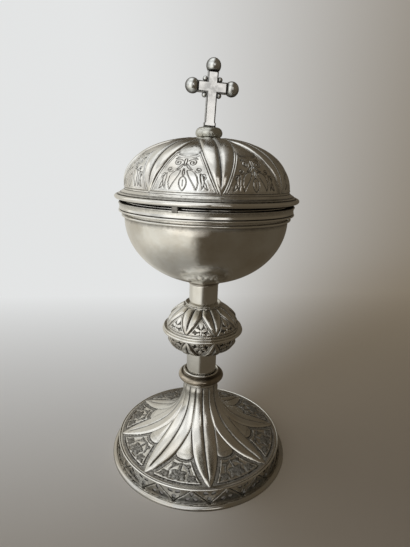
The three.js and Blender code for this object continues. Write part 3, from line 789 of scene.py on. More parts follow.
def darker_round_crossing(crossing):
    """Round the crossing the cross's filed silver is darker, a cloudy grey that fades out over a few
    millimetres."""
    tree = metal("Filed Silver").node_tree
    place = add_node(tree, "ShaderNodeTexCoord").outputs["Object"]
    away = add_node(tree, "ShaderNodeVectorMath", {0: place, 1: crossing}, operation="DISTANCE")
    film = maths(tree, "MULTIPLY", ramped(tree, away.outputs["Value"], 10 * MM, 2 * MM),
                 ramped(tree, noise(tree, place, 3.0 * MM, 3.0), 0.30, 0.62))
    shown = tree.nodes["Principled BSDF"].inputs["Base Color"]
    grey = tuple(0.55 * c for c in metal_colour(FINISHES["Filed Silver"]))
    tree.links.new(mixed(tree, film, shown.links[0].from_socket, grey), shown)


# Foot

def foot_sheet():
    """The foot's outline, a curve of the third degree from its upper edge up to a straight neck."""
    rim, gallery_top = reach("foot_dome"), top("foot_gallery")
    neck, neck_height = reach("foot_neck_ring") - NECK_BEAD, base("foot_neck_ring")
    straight, edge_height = 5.8 * MM, 1.0 * MM
    rise = neck_height - straight - gallery_top
    spread = 0.31 * (rim - neck)
    guides = np.array([[rim, gallery_top + edge_height], [neck + 1.2 * spread, gallery_top + 0.15 * rise],
                       [neck + 0.19 * spread, gallery_top + 0.466 * rise], [neck, gallery_top + rise]])
    t = np.linspace(0.0, 1.0, 1500)[:, None]
    curve = ((1 - t) ** 3 * guides[0] + 3 * t * (1 - t) ** 2 * guides[1] + 3 * t ** 2 * (1 - t) * guides[2]
             + t ** 3 * guides[3])
    upright = np.stack([np.full(150, neck), np.linspace(gallery_top + rise, neck_height, 151)[1:]], 1)
    line = np.concatenate([curve, upright])
    return Sheet(line[:, 0], line[:, 1], 1)


def foot_foliage():
    """Vine leaves: one with five lobes hangs in the middle on its stem, and a smaller one with three lobes
    grows from it into each corner."""
    return [
        leaf((0.0, 9.8), (0.0, 2.9), 0.0, 3.6), leaf((0.2, 9.2), (4.4, 4.4), -0.10, 2.7),
        leaf((0.2, 9.6), (4.8, 9.4), 0.10, 2.3), leaf((0.0, 9.0), (0.0, 16.6), 0.0, 1.2),
        leaf((0.4, 14.8), (6.8, 8.0), -0.28, 0.9), leaf((6.2, 7.8), (12.6, 3.4), 0.04, 2.9),
        leaf((7.2, 7.4), (6.8, 3.3), 0.05, 2.0), leaf((7.6, 7.4), (11.8, 7.4), 0.14, 1.9),
        leaf((2.4, 13.6), (6.4, 14.4), 0.15, 1.7), leaf((13.2, 3.9), (16.4, 3.4), 0.1, 1.0),
    ]


def foot_relief(at, sizes):
    """Height, film and matting of the foot: lobed petals and tongues, a sunk matted band round them, then
    each panel's bright ground with a raised outline and matted foliage inside dark contours."""
    outline, rim_margin = 0.42 * MM, 0.9 * MM
    depth = np.minimum(np.minimum(at.to_petal, at.to_tongue), at.along - rim_margin)
    sunk = smooth_step(depth, 0.0, 0.25 * MM)
    inner = smooth_step(depth, sizes.border, sizes.border + 0.3 * MM)
    inside = inside_strokes(at.x, at.along, foot_foliage())
    leaves = smooth_step(inside, -0.05 * MM, 0.15 * MM) * inner
    contour = bell(inside + 0.12 * MM, 0.20 * MM) * inner
    border_line = ridge(depth - sizes.border - outline, outline)
    ground_height = (sizes.ground_depth * (inner - sunk) + 0.22 * MM * border_line
                     + (sizes.leaf_lift * leaves - 0.12 * MM * contour) * (1 - border_line))
    height = sizes.petal_lift * at.crown + 0.55 * sizes.petal_lift * at.swell + at.ground * ground_height

    bare = np.clip(np.maximum(border_line, inner * (1 - leaves)), 0.0, 1.0)
    matted = at.ground * sunk * (1 - bare)
    edge_film = bell(at.to_petal, 0.40 * MM) * smooth_step(at.x, 0.1 * MM, 0.5 * MM) * ~at.in_petal
    fine_line = bell(depth - sizes.border + 0.35 * MM, 0.16 * MM) * at.ground
    end = at.sheet.length
    # Darker towards the neck, less so on the lobes' crowns.
    darker_towards_neck = smooth_step(at.along, end - 19 * MM, end - 4 * MM) * (0.80 - 0.62 * at.crown)
    dark = np.maximum.reduce([matted * (0.46 + 0.10 * inner), at.groove(0.38 * MM), edge_film,
                              0.8 * fine_line, 0.75 * contour * at.ground * (1 - border_line), darker_towards_neck])
    return height, dark, matted


def make_foot_sheet():
    sizes, sheet, panel_end = bpy.context.scene.ciborium.foot, foot_sheet(), 21 * MM
    petal = petal_form(sizes, power=0.75, fullness=4.0, tongue_power=2.4, length=25, tip=0.8,
                       tongue_from=17.4, tongue_round=4.2, groove_from=3.0, groove_fade=3.0, fade=3.0)
    rows = np.concatenate([np.arange(0.0, panel_end, 0.42 * MM), np.linspace(panel_end, sheet.length, 42)])
    chased_piece("chased_foot", "foot_dome", sheet, petal, foot_relief, sizes, rows, (18, 34),
                 "Chased Silver")


def make_foot_flange():
    tall, outer = span("foot_flange")[1:]
    seat, _, gallery = span("foot_gallery")
    inner, shoulder = gallery - 1.75 * MM, gallery + 0.6 * MM
    middle = (outer + shoulder) / 2
    swell = arc(middle, 0.5 * MM, outer - middle, tall - 0.5 * MM, 0, 180, 14)
    profile = profile_of([inner, 0.0], [outer - 0.25 * MM, 0.0], swell, [shoulder, seat], [inner, seat])
    turned_piece("rolled_flange", "foot_flange", profile, ("Dark Turned Silver",), columns=288)


def wire(name, node):
    """A round wire bent into a ring."""
    low, high, wide = span(node)
    half = (high - low) / 2
    turned_piece(name, node, arc(wide - half, low + half, half, half, 0, 345, 20), ("Turned Silver",),
                 columns=256, edge=0.02 * MM)


def make_foot_wire():
    wire("edge_wire", "foot_edge_wire")


def drop_outline(middle, turn, count):
    """A drop-shaped hole, narrow towards the middle of its field, as a closed loop of points."""
    inset, drop_length, drop_width = 0.7 * MM, 3.4 * MM, 2.3 * MM
    phase = np.arange(count) * 2 * math.pi / count
    along = inset + drop_length * (1 - np.cos(phase)) / 2
    across = -drop_width / 2 * np.sin(phase) * np.abs(np.sin(phase / 2)) ** 1.1 * 1.25
    direction = np.array([math.cos(turn), math.sin(turn)])
    side = np.array([-direction[1], direction[0]])
    return middle + along[:, None] * direction + across[:, None] * side


def fret_cells(width, tall, side_points):
    """One upright field as three cells round its middle: for each, the hole's loop and the cell's outline,
    point by point, both from the middle of the field round to it again."""
    middle, foot = np.array([0.0, 0.4 * tall]), np.array([0.0, 0.0])
    left, right, apex = np.array([-width / 2, 0.0]), np.array([width / 2, 0.0]), np.array([0.0, tall])
    right_mid, left_mid = (right + apex) / 2, (left + apex) / 2
    share_along = (np.arange(side_points) / side_points)[:, None]
    for turn, path in ((-30, (middle, foot, right, right_mid)), (90, (middle, right_mid, apex, left_mid)),
                       (210, (middle, left_mid, left, foot))):
        sides = [a + (b - a) * share_along for a, b in zip(path, path[1:] + path[:1])]
        yield drop_outline(middle, math.radians(turn), 4 * side_points), np.concatenate(sides)


def make_gallery():
    """The pierced band: sixteen upright and sixteen hanging fields, each with three drops cut through and a
    raised border along a zigzag groove. Each cell is a net between its hole and its outline; the inner
    side is the same net without relief, and walls join the two round the holes and at both edges."""
    low, high, outer = span("foot_gallery")
    tall, frets, side_points = high - low, 16, 7
    width = 2 * math.pi * outer / frets
    slope = math.hypot(width / 2, tall)
    rings = np.array([0.0, 0.05, 0.18, 0.36, 0.54, 0.70, 0.83, 0.93, 1.0])
    count = 4 * side_points
    skin = len(rings) * count
    net = grid_faces(len(rings), count, False)
    here = np.arange(count)
    there = (here + 1) % count
    hole_wall = np.stack([here, here + skin, there + skin, there], 1)
    edge = np.stack([here, there, there + skin, here + skin], 1) + skin - count
    points, faces, recess, matted = [], [], [], []
    for field in range(2 * frets):
        upright = field % 2 == 0
        for hole, outline in fret_cells(width, tall, side_points):
            flat = hole[None] + (outline - hole)[None] * rings[:, None, None]
            u, v = flat[..., 0], flat[..., 1]
            to_side = ((tall - v) * width / 2 - np.abs(u) * tall) / slope
            border = ridge(to_side - 0.75 * MM, 0.45 * MM)
            groove = bell(to_side, 0.30 * MM)
            lip = (rings == 0.0)[:, None]
            lift = 0.22 * MM * border - 0.25 * MM * groove - 0.08 * MM * lip
            if not upright:
                u, v = -u, tall - v
            angle = (field + 1) * math.pi / frets + u / outer
            for radius in (outer - 0.22 * MM + lift, outer - WALL):
                points.append(np.stack([radius * np.sin(angle), -radius * np.cos(angle), low + v],
                                       -1).reshape(-1, 3))
            on_edge = np.isclose(outline[:, 1], 0.0) & np.isclose(np.roll(outline[:, 1], -1), 0.0)
            faces.append(np.concatenate([net, net[:, ::-1] + skin, hole_wall, edge[on_edge]])
                         + skin * len(recess))
            # Film in the zigzag groove and a darker ground on the upright fields. The holes' rims and the
            # band's inner side carry painted shade, so that the holes read dark.
            dark = np.clip(groove + (0.42 if upright else 0.08) * (1 - border) + 0.9 * lip, 0.0, 1.0)
            recess += [dark.ravel(), np.full(skin, 0.6)]
            matted += [(0.25 * (1 - border) * (1 - groove)).ravel(), np.zeros(skin)]
    masks = {"recess": np.concatenate(recess), "matted": np.concatenate(matted)}
    piece("pierced_gallery", "foot_gallery", np.concatenate(points), np.concatenate(faces),
          ("Chased Silver",), masks, crease=50.0)


# Stem

def make_neck_ring():
    low, high, wide = span("foot_neck_ring")
    neck, half = wide - NECK_BEAD, (high - low) / 2
    bead = arc(neck, low + half, NECK_BEAD, half * 0.9, -80, 80, 10)
    profile = profile_of([ROD_HOLE, low], [neck, low], bead, [neck, high], [ROD_HOLE, high])
    turned_piece("neck_ring", "foot_neck_ring", profile, columns=128)


def make_stem_collar():
    """The heavy half-round ring, and on it the raised lip that holds the tube."""
    low, high, wide = span("stem_collar")
    dish, _, tube = span("stem_tube_lower")
    waist = reach("foot_neck_ring") - 1.0 * MM
    tall = high - low
    swell = arc(waist + 0.8 * MM, low + 0.4 * tall, wide - waist - 0.8 * MM, 0.38 * tall, -84, 58, 22)
    lip = tube + 1.2 * MM
    profile = profile_of(
        [ROD_HOLE, low], [waist, low], swell,
        from_point(lip, high, (0.9, -1.9), (0.1, -1.5), (0.1, -1.1)),
        arc(lip + 0.2 * MM, high - 0.55 * MM, 0.6 * MM, 0.5 * MM, -70, 100, 8),
        [tube + 0.55 * MM, high - 0.5 * MM], [tube + 0.45 * MM, dish + 0.1 * MM], [ROD_HOLE, dish])

    # Painted shade under the lip and along the foot, where the collar sits on the neck ring.
    def under_the_lip(radius, height):
        gap = np.abs(height - (high - 1.6 * MM)) < 0.6 * MM
        return np.maximum(0.4 * gap * (radius > tube + 1.1 * MM), 0.8 * (height < low + 0.6 * MM))

    # The lip keeps the plain finish. The rest takes a dark brown copy, painted shade for the dark the ring
    # mirrors.
    def unshaded_lip(middles):
        return middles[:, 2] > high - 1.0 * MM

    turned_piece("ring_collar", "stem_collar", profile,
                 ("Stained Turned Silver", "Turned Silver"), columns=160, step=0.35 * MM,
                 zones=unshaded_lip, painted_shade=under_the_lip)


def make_tubes():
    for name, node in (("lower_tube", "stem_tube_lower"), ("upper_tube", "stem_tube_upper")):
        low, high, outer = span(node)
        inner = outer - WALL
        profile = profile_of([inner, low], [outer, low], [outer, high], [inner, high])
        turned_piece(name, node, profile)


def make_cup_collar():
    low, high, _ = span("cup_collar")
    inner, waist, bead = 6.3 * MM, reach("stem_tube_upper") + 0.1 * MM, (high - low) / 4
    profile = profile_of(
        [inner, low], [waist, low], [waist, low + 0.25 * bead],
        arc(waist, low + 1.1 * bead, 0.7 * MM, 0.8 * bead, -70, 70, 8), [waist, low + 2.0 * bead],
        arc(waist, low + 2.9 * bead, 0.5 * MM, 0.7 * bead, -70, 70, 8), [waist, high], [inner, high])
    turned_piece("cup_ring", "cup_collar", profile, ("Dark Turned Silver",), columns=128,
                 edge=0.05 * MM, step=0.25 * MM)


# Knop

def oval_sheet(edge, rise, radius, web, power, steps, up=1):
    """A quarter of a superellipse from its edge up or down to the web's radius, where it is cut off."""
    share_of_web = web / radius
    height = rise / (1 - share_of_web ** power) ** (1 / power)
    angle = np.linspace(0.0, math.acos(share_of_web ** (power / 2)), steps)
    radii = radius * np.cos(angle) ** (2 / power)
    return Sheet(radii, edge + up * height * np.sin(angle) ** (2 / power), up)


def knop_palmette():
    """A trefoil on a short foot, with a leaf into each corner."""
    return [leaf((0.0, 5.8), (0.0, 10.8), 0.0, 2.7), leaf((0.5, 4.4), (4.1, 6.0), 0.20, 2.1),
            leaf((0.0, 1.3), (0.0, 6.2), 0.0, 1.0), leaf((0.5, 2.5), (3.0, 1.5), -0.2, 1.5),
            leaf((3.7, 2.2), (6.8, 2.0), 0.1, 1.3)]


def knop_relief(at, sizes):
    """Height, film and matting of the knop: ribbed petals with bright borders, and a palmette on a dark
    ground."""
    margin, border = 0.5 * MM, 0.45 * MM
    depth = np.minimum(at.to_petal, at.along - margin)
    edge = ridge(depth - 2 * border, border)
    sunk = smooth_step(depth, 0.0, 0.3 * MM)
    leaves = smooth_step(inside_strokes(at.x, at.along, knop_palmette()), -0.10 * MM, 0.16 * MM)
    leaves = leaves * smooth_step(depth, 1.1 * MM, 1.4 * MM)
    height = sizes.petal_lift * at.crown + at.ground * (
        -0.35 * MM * sunk + 0.5 * MM * edge + sizes.leaf_lift * leaves)
    bare = np.clip(np.maximum(edge, leaves), 0.0, 1.0)
    matted = at.ground * sunk * (1 - bare)
    groove = at.in_petal * bell(at.across, 0.34 * MM) * smooth_step(at.from_tip, 1.0 * MM, 3.0 * MM)
    joint = at.in_petal * bell(at.half_width - at.across, 0.34 * MM)
    # The film on the matted ground is heavier on the lower half, which faces down: painted shade over the
    # tarnish in the pits.
    film = 0.66 if at.sheet.up > 0 else 0.92
    return height, np.maximum.reduce([matted * film, groove, joint]), matted


def make_knop():
    """Both halves: the upper one fuller, the lower one squarer and darker, its darker finish and heavier
    film painted shade on the half that faces down.
    """
    sizes = bpy.context.scene.ciborium.knop
    petal = petal_form(sizes, power=0.7, fullness=3.0, length=16, tip=1.0, groove_from=1.5,
                       groove_fade=3.0, fade=1.6)
    upper_edge, lower_edge = top("knop_girdle"), base("knop_girdle")
    upper = oval_sheet(upper_edge, top("knop_upper_shell") - upper_edge, radius=23.3 * MM,
                       web=reach("stem_tube_upper") + 1.7 * MM, power=1.7, steps=900)
    lower = oval_sheet(lower_edge, lower_edge - base("knop_lower_shell"), radius=22.4 * MM,
                       web=reach("stem_tube_lower") + 0.4 * MM, power=2.5, steps=900, up=-1)
    for half, sheet, finish in (("upper", upper, "Chased Silver"), ("lower", lower, "Dull Chased Silver")):
        chased_piece(f"knop_{half}_half", f"knop_{half}_shell", sheet, petal, knop_relief, sizes,
                     np.linspace(0.0, sheet.length, 84), (20, 26), finish, turn=math.radians(12.5))


def make_girdle():
    """Two beads with a quirk between them, the lower one larger."""
    low, high, wide = span("knop_girdle")
    seat = reach("knop_lower_shell") - 2.0 * MM
    tall = high - low
    lower, upper = 0.27 * tall, 0.19 * tall
    profile = profile_of(
        [seat, low], [wide - 2.2 * lower, low], arc(wide - lower, low + lower, lower, lower, -100, 80, 12),
        [wide - 1.9 * lower, low + 2.2 * lower],
        arc(wide - lower - 0.35 * MM, high - 1.25 * upper, 0.9 * upper, 1.05 * upper, -80, 95, 12),
        [seat + 0.9 * MM, high], [seat, high])
    turned_piece("girdle", "knop_girdle", profile, columns=224, edge=0.06 * MM,
                 step=0.3 * MM)


def make_knop_lip():
    """The flared ring above the knop: a fine bead below, a quirk and a lip that opens upwards."""
    low, high, wide = span("knop_lip")
    seat, _, tube = span("stem_tube_upper")
    profile = profile_of(
        [ROD_HOLE, low], [tube + 1.5 * MM, low],
        arc(tube + 1.5 * MM, low + 0.35 * MM, 0.45 * MM, 0.33 * MM, -60, 70, 6),
        [tube + 1.3 * MM, low + 0.8 * MM],
        from_point(wide, high, (-0.15, -0.75), (0, -0.3), (-0.35, 0), (-0.9, -0.2)),
        [tube + 0.35 * MM, seat + 0.1 * MM], [ROD_HOLE, seat])
    turned_piece("knop_flare", "knop_lip", profile, columns=144, edge=0.07 * MM,
                 step=0.25 * MM)


# Cup

def make_bowl():
    """The bowl: an elliptical wall with a short upright rim outside, the same wall one sheet further in
    inside, joined by a rounded rim and closed on the axis at both poles."""
    low, rim, wide = span("cup_bowl")
    upright, flat, columns = 10.2 * MM, 9.9 * MM, 256
    middle_wall = wide - WALL / 2
    shoulder = rim - upright
    tall = (shoulder - low) / math.sqrt(1 - (flat / wide) ** 2)

    def side(inset):
        start = math.degrees(math.asin(flat / (wide - inset))) - 90
        return arc(0.0, shoulder, wide - inset, tall - inset, start, 0, 60)

    outer_wall, inner_wall = side(0.0), side(WALL)
    lip = arc(middle_wall, rim - WALL / 2, WALL / 2, WALL / 2, 0, 180, 8)
    rows = np.linspace(0.0, 1.0, 8)[:, None]
    foot_disc = np.array([0.0, low]) + (outer_wall[0] - [0.0, low]) * rows
    floor_disc = inner_wall[0] + (np.array([0.0, inner_wall[0][1]]) - inner_wall[0]) * rows
    upright_out = np.linspace(outer_wall[-1], lip[0], 10)[1:-1]
    upright_in = np.linspace(lip[-1], inner_wall[-1], 10)[1:-1]
    line = profile_of(foot_disc[:-1], outer_wall, upright_out, lip, upright_in, inner_wall[::-1],
                      floor_disc[1:])

    def gilt_inside(middles):
        radius = np.hypot(middles[:, 0], middles[:, 1])
        level = np.sqrt(np.clip(1 - (radius / middle_wall) ** 2, 0.0, 1.0)) * (tall - WALL / 2)
        return (middles[:, 2] > shoulder - level) & (radius < middle_wall)

    # Painted shade: a soft dark line under the wire. The bowl is also darker where it meets the collar.
    under_wire = bell(line[:, 1] - base("cup_rim_bead"), 1.3 * MM) * (line[:, 0] > middle_wall)
    by_collar = np.exp(-(line[:, 1] - low) / (0.5 * MM)) * (line[:, 0] > flat - 1.5 * MM)
    masks = {"recess": np.repeat(0.75 * np.maximum(under_wire, 0.6 * by_collar), columns)}
    piece("cup", "cup_bowl", revolved(line, columns), grid_faces(len(line), columns, False),
          ("Bowl Silver", "Gilded Silver"), masks, zones=gilt_inside)


def make_rim_band():
    """The moulded band: a fine fillet at the top, a shallow hollow, and a quirk above its lower edge."""
    low, high, wide = span("cup_rim_band")
    inner = reach("cup_bowl") + 0.1 * MM
    profile = profile_of(
        [inner, low],
        from_point(wide, low, (-0.9, 0.35), (-0.15, 0.75), (0, 1.2), (-0.15, 1.6), (-0.75, 1.8),
                   (-0.75, 2.05), (-0.40, 2.25), (-0.60, 3.4)),
        from_point(wide, high, (-0.45, -1.3), (-0.05, -1.0), (-0.05, -0.45), (-0.6, -0.05)),
        [inner, high])

    # Painted shade: under the lid's flange, in the quirk, by the wire below, and a soft darkening towards
    # the top.
    def under_the_lid(radius, height):
        hidden = (height > high - 0.5 * MM) & (radius < wide - 0.5 * MM)
        quirk = (height > low + 1.75 * MM) & (height < low + 2.15 * MM)
        by_wire = (height < low + 0.45 * MM) & (radius > wide - 1.6 * MM)
        shaded = 0.30 * smooth_step(height, high - 3.2 * MM, high - 0.9 * MM)
        return np.maximum.reduce([1.0 * hidden, 0.95 * quirk, 0.9 * by_wire, shaded])

    turned_piece("rim_band", "cup_rim_band", profile, columns=288,
                 edge=0.10 * MM, step=0.25 * MM, painted_shade=under_the_lid)


def make_rim_bead():
    wire("rim_wire", "cup_rim_bead")


def box_surface(half_sizes, power, count):
    """A block with softened edges: a superellipse section carried up by a superellipse, on a grid of two
    angles. The power sets how square it is."""
    around = np.linspace(0.0, 2 * math.pi, count, endpoint=False)[None, :]
    up = np.linspace(-math.pi / 2, math.pi / 2, count // 2 + 1)[:, None]

    def bent(value):
        return np.sign(value) * np.abs(value) ** (2 / power)

    level = bent(np.cos(up))
    level[[0, -1]] = 0.0
    rounded_block = (level * bent(np.cos(around)), level * bent(np.sin(around)), bent(np.sin(up)))
    points = np.stack(np.broadcast_arrays(*rounded_block), -1) * half_sizes
    return points.reshape(-1, 3), grid_faces(len(up), count, False)


def make_peg():
    """The small peg that keys the lid, square with worn edges."""
    low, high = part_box("locating_peg")
    middle = (low + high) / 2
    heading = math.atan2(middle.x, -middle.y)
    points, faces = box_surface((1.7 * MM, 1.1 * MM, (high.z - low.z) / 2), 7.0, 72)
    sine, cosine = math.sin(heading), math.cos(heading)
    spin = np.array([[cosine, -sine, 0.0], [sine, cosine, 0.0], [0.0, 0.0, 1.0]])
    # The whole peg is darkened: painted shade, as it sits in the gap under the lid's flange.
    piece("keying_peg", "locating_peg", points @ spin.T + np.array(middle), faces,
          ("Dark Turned Silver",), {"recess": np.full(len(points), 0.65)})


# Lid

def make_lid_flange():
    """The lid's stepped flange: a rolled edge, two fine steps and a shallow cove up to the dome."""
    low, high, wide = span("lid_flange")
    inner = reach("lid_bezel") + 0.1 * MM
    dome = reach("lid_dome")
    profile = profile_of(
        [inner, low], [reach("cup_bowl") + 1.4 * MM, low], [wide - 1.7 * MM, low + 0.95 * MM],
        arc(wide - 1.3 * MM, low + 2.3 * MM, 1.3 * MM, 1.25 * MM, -80, 105, 14),
        from_point(wide, low, (-1.9, 3.55), (-1.95, 4.0), (-2.6, 4.25), (-3.3, 4.5), (-3.4, 4.95),
                   (-4.0, 5.2)),
        from_point(dome, high, (0.7, -0.55), (0.1, 0)), [inner, high])

    # Painted shade: on the underside by the gap over the cup, in the quirk and the step, and at the foot of
    # the dome.
    def underside(radius, height):
        hidden = (height < low + 1.15 * MM) & (radius < wide - 1.0 * MM)
        quirk = (height > low + 3.5 * MM) & (radius < wide - 1.75 * MM) & (radius > wide - 2.15 * MM)
        step = (radius < wide - 3.2 * MM) & (radius > wide - 3.55 * MM)
        foot_of_dome = (radius < dome + 0.45 * MM) & (radius > inner)
        return np.maximum.reduce([1.0 * hidden, 0.95 * quirk, 0.7 * step, 0.85 * foot_of_dome])

    turned_piece("stepped_flange", "lid_flange", profile, columns=288,
                 edge=0.12 * MM, step=0.3 * MM, painted_shade=underside)


def make_bezel():
    low, high, outer = span("lid_bezel")
    inner = outer - WALL
    profile = profile_of(from_point(inner, low, (0, 0.2), (0.2, 0)),
                         from_point(outer, low, (-0.4, 0), (0, 0.8)), [outer, high], [inner, high])
    turned_piece("bezel", "lid_bezel", profile, columns=256)


def lid_arabesque():
    """The engraved ornament of a lid panel: a pair of scrolls under a small gable, two long pointed leaves
    that hang round a bud, and smaller scrolls with leaves at the sides."""
    return [
        scroll((3.6, 16.5), 2.3, 1.5, 155, -1), leaf((0.2, 21.0), (5.6, 18.8), -0.14, 0.9),
        leaf((0.0, 19.4), (0.0, 14.4), 0.0, 1.3), leaf((1.0, 15.6), (4.2, 12.4), 0.24, 0.9),
        leaf((1.8, 11.8), (6.9, 2.4), -0.26, 3.4), leaf((0.0, 8.4), (0.0, 2.0), 0.0, 3.7),
        leaf((0.0, 9.0), (0.0, 13.0), 0.0, 0.9), scroll((7.2, 12.4), 1.7, 1.3, 200, 1),
        scroll((10.2, 8.6), 1.8, 1.4, 150, -1), leaf((8.6, 10.4), (9.6, 2.8), -0.22, 1.5),
        leaf((11.0, 6.0), (12.8, 2.6), 0.22, 1.1),
    ]


def lid_relief(at, sizes):
    """Height and film of the dome: petals in two lobes, two cords along each, plain tongues that end in a
    double line, and panels engraved with the outline of the arabesque."""
    bottom, cord = 1.4 * MM, sizes.cord
    above = smooth_step(at.along, bottom - 0.5 * MM, bottom)
    cords = ridge(at.to_petal - 0.75 * cord, cord / 2)
    cords = np.maximum(cords, ridge(at.to_petal - 2.0 * cord, cord / 2)) * above
    arch = ridge(at.to_tongue - 1.1 * MM, 0.45 * MM)
    ledge = ridge(at.along - bottom, 0.35 * MM) * (at.to_petal > 2.5 * cord)
    height = (sizes.petal_lift * at.crown + 0.45 * sizes.petal_lift * at.swell
              + at.ground * (0.28 * MM * cords + 0.20 * MM * arch + 0.22 * MM * ledge))

    inner = smooth_step(at.to_petal, 2.8 * cord, 3.1 * cord)
    inner = inner * smooth_step(at.to_tongue, 1.8 * MM, 2.1 * MM) * above * at.ground
    depth = inside_strokes(at.x, at.along, lid_arabesque())
    cut = np.exp(-(np.abs(depth / sizes.cut_width)) ** 3) * inner
    vein = bell(at.x, 0.22 * MM) * (np.abs(at.along - 5.6 * MM) < 1.6 * MM) * inner
    cut = np.maximum(cut, 0.7 * vein)

    line_below = bell(at.along - bottom + 0.45 * MM, 0.2 * MM) * ~at.in_petal
    edge_film = bell(at.to_petal, 0.26 * MM) * at.ground
    cord_film = at.ground * above * (1 - cords) * (at.to_petal < 2.5 * cord)
    tongue_film = bell(at.to_tongue, 0.26 * MM) * smooth_step(at.tongue, 0.6 * MM, 1.5 * MM)
    dark = np.maximum.reduce([0.95 * cut, at.groove(0.24 * MM), 0.9 * edge_film, 0.7 * cord_film,
                              0.8 * tongue_film * ~at.in_petal, 0.8 * line_below])
    return height - sizes.cut_depth * cut, dark, np.zeros_like(dark)


def make_dome():
    """The dome: a superellipse's quarter, cut off where it meets the finial's collar."""
    sizes, edge, panel_end = bpy.context.scene.ciborium.lid, base("lid_dome"), 22 * MM
    sheet = oval_sheet(edge, base("finial_collar") - edge, radius=reach("lid_flange") - 5.8 * MM,
                       web=6.0 * MM, power=2.25, steps=1500)
    petal = petal_form(sizes, power=0.8, fullness=3.4, length=31, tip=0.3, tongue_from=20.8,
                       tongue_round=7.0, groove_from=2.5, groove_fade=3.0, fade=8.0)
    rows = np.concatenate([np.arange(0.0, panel_end, 0.31 * MM), np.linspace(panel_end, sheet.length, 22)])
    chased_piece("chased_dome", "lid_dome", sheet, petal, lid_relief, sizes, rows, (12, 43), "Lid Silver",
                 STUD_HOLE)


# Finial and cross

def make_finial():
    """The thin collar and the turned button, flattened and fuller below its middle."""
    low, high, collar = span("finial_collar")
    profile = profile_of([STUD_HOLE, low], [collar, low], [collar, high], [STUD_HOLE, high])
    turned_piece("finial_washer", "finial_collar", profile, ("Dark Turned Silver",), columns=96)
    low, high, wide = span("finial_button")
    flat, tall = collar - 0.6 * MM, high - low
    middle = low + 0.45 * tall
    profile = profile_of(
        [STUD_HOLE, low], [flat, low], arc(flat, middle, wide - flat, 0.45 * tall, -86, 0, 12),
        arc(flat, middle, wide - flat, 0.55 * tall, 6, 88, 14), [STUD_HOLE, high])
    turned_piece("button", "finial_button", profile, ("Button Silver",), columns=144, step=0.4 * MM)


def cross_places():
    """Ball radius, ball centres and the crossing, read from the frame's boxes."""
    low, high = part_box("cross_ball_top")
    ball = (high.y - low.y) / 2
    centres = {"top": Vector(((low.x + high.x) / 2, 0.0, high.z - ball))}
    for side in ("left", "right"):
        low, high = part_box(f"cross_ball_{side}")
        middle_x = low.x + ball if side == "left" else high.x - ball
        centres[side] = Vector((middle_x, 0.0, (low.z + high.z) / 2))
    return ball, centres, (centres["left"] + centres["right"]) / 2


def cross_outline(half, arm, plinth, rise):
    """The cross's outline as corners, its crossing at the origin and its foot below, given once for the
    right side and mirrored for the left."""
    foot = -rise
    right = [(half + plinth, foot), (half + plinth, foot + 2.0 * MM), (half, foot + 2.8 * MM), (half, -half),
             (arm, -half), (arm, half), (half, half), (half, arm)]
    return np.array(right + [(-x, z) for x, z in reversed(right)])


def shrunk(outline, inset):
    """An outline moved inwards by the same distance at every side, its corners mitred."""
    before, after = np.roll(outline, 1, axis=0), np.roll(outline, -1, axis=0)

    def inward(a, b):
        side = b - a
        side /= np.linalg.norm(side, axis=1, keepdims=True)
        return np.stack([-side[:, 1], side[:, 0]], 1)

    first, second = inward(before, outline), inward(outline, after)
    mitre = (first + second) / (1 + (first * second).sum(1, keepdims=True))
    return outline + mitre * inset


def bevelled_section(half_thick, bevel):
    """Inset, depth and darkness of the section's points, from the edge of one flat face to the other's. A
    fine step parts the face from its bevel, and the bevels are painted dark: painted shade for the dark they
    mirror."""
    side = half_thick - bevel
    step = 0.14 * MM
    half = [(bevel + step, half_thick, 0.0), (bevel + 0.03 * MM, half_thick, 0.5),
            (bevel, half_thick - step, 0.95), (bevel - 0.2 * MM, half_thick - step, 0.95),
            (0.16 * MM, side + 0.12 * MM, 0.45), (0.0, side - 0.1 * MM, 0.30)]
    return half + [(inset, -depth, film) for inset, depth, film in reversed(half)]


ARM_HALF_WIDTH = 3.0 * MM
SEAT_RADIUS = ARM_HALF_WIDTH + 0.1 * MM


def make_cross_body():
    """The cast cross: its outline, corners softened, carried through a section with a bevelled front and
    back edge, and closed by a flat face each side that is meshed from the outline inwards."""
    ball, centres, crossing = cross_places()
    lean = centres["top"] - crossing
    arm = lean.length - math.sqrt(ball ** 2 - SEAT_RADIUS ** 2)
    rise = crossing.z - top("finial_button") - 0.2 * MM
    outline = cross_outline(ARM_HALF_WIDTH, arm, 0.5 * MM, rise)
    section = bevelled_section(3.8 * MM / 2, 0.70 * MM)
    rings = [np.insert(rounded(shrunk(outline, inset), 0.2 * MM, 3), 1, depth, axis=1)
             for inset, depth, _ in section]
    angle = math.atan2(lean.x, lean.z)
    sine, cosine = math.sin(angle), math.cos(angle)
    spin = np.array([[cosine, 0.0, sine], [0.0, 1.0, 0.0], [-sine, 0.0, cosine]])
    count = len(rings[0])
    darker_round_crossing(crossing)
    # The bevels' darkness is painted shade.
    masks = {"recess": np.repeat([film for _, _, film in section], count)}
    caps = [np.arange(count)[::-1], np.arange(count) + (len(rings) - 1) * count]
    piece("cross", "cross_body", np.concatenate(rings) @ spin.T + np.array(crossing),
          grid_faces(len(rings), count, False), ("Filed Silver",), masks, crease=25.0,
          caps=caps)


def painted_dark_rim(places, radius):
    """Painted shade round a ball's rim: darker towards its outline as seen from the front and the back."""
    return 0.85 * smooth_step(np.hypot(places[:, 0], places[:, 2]) / radius, 0.62, 1.0)


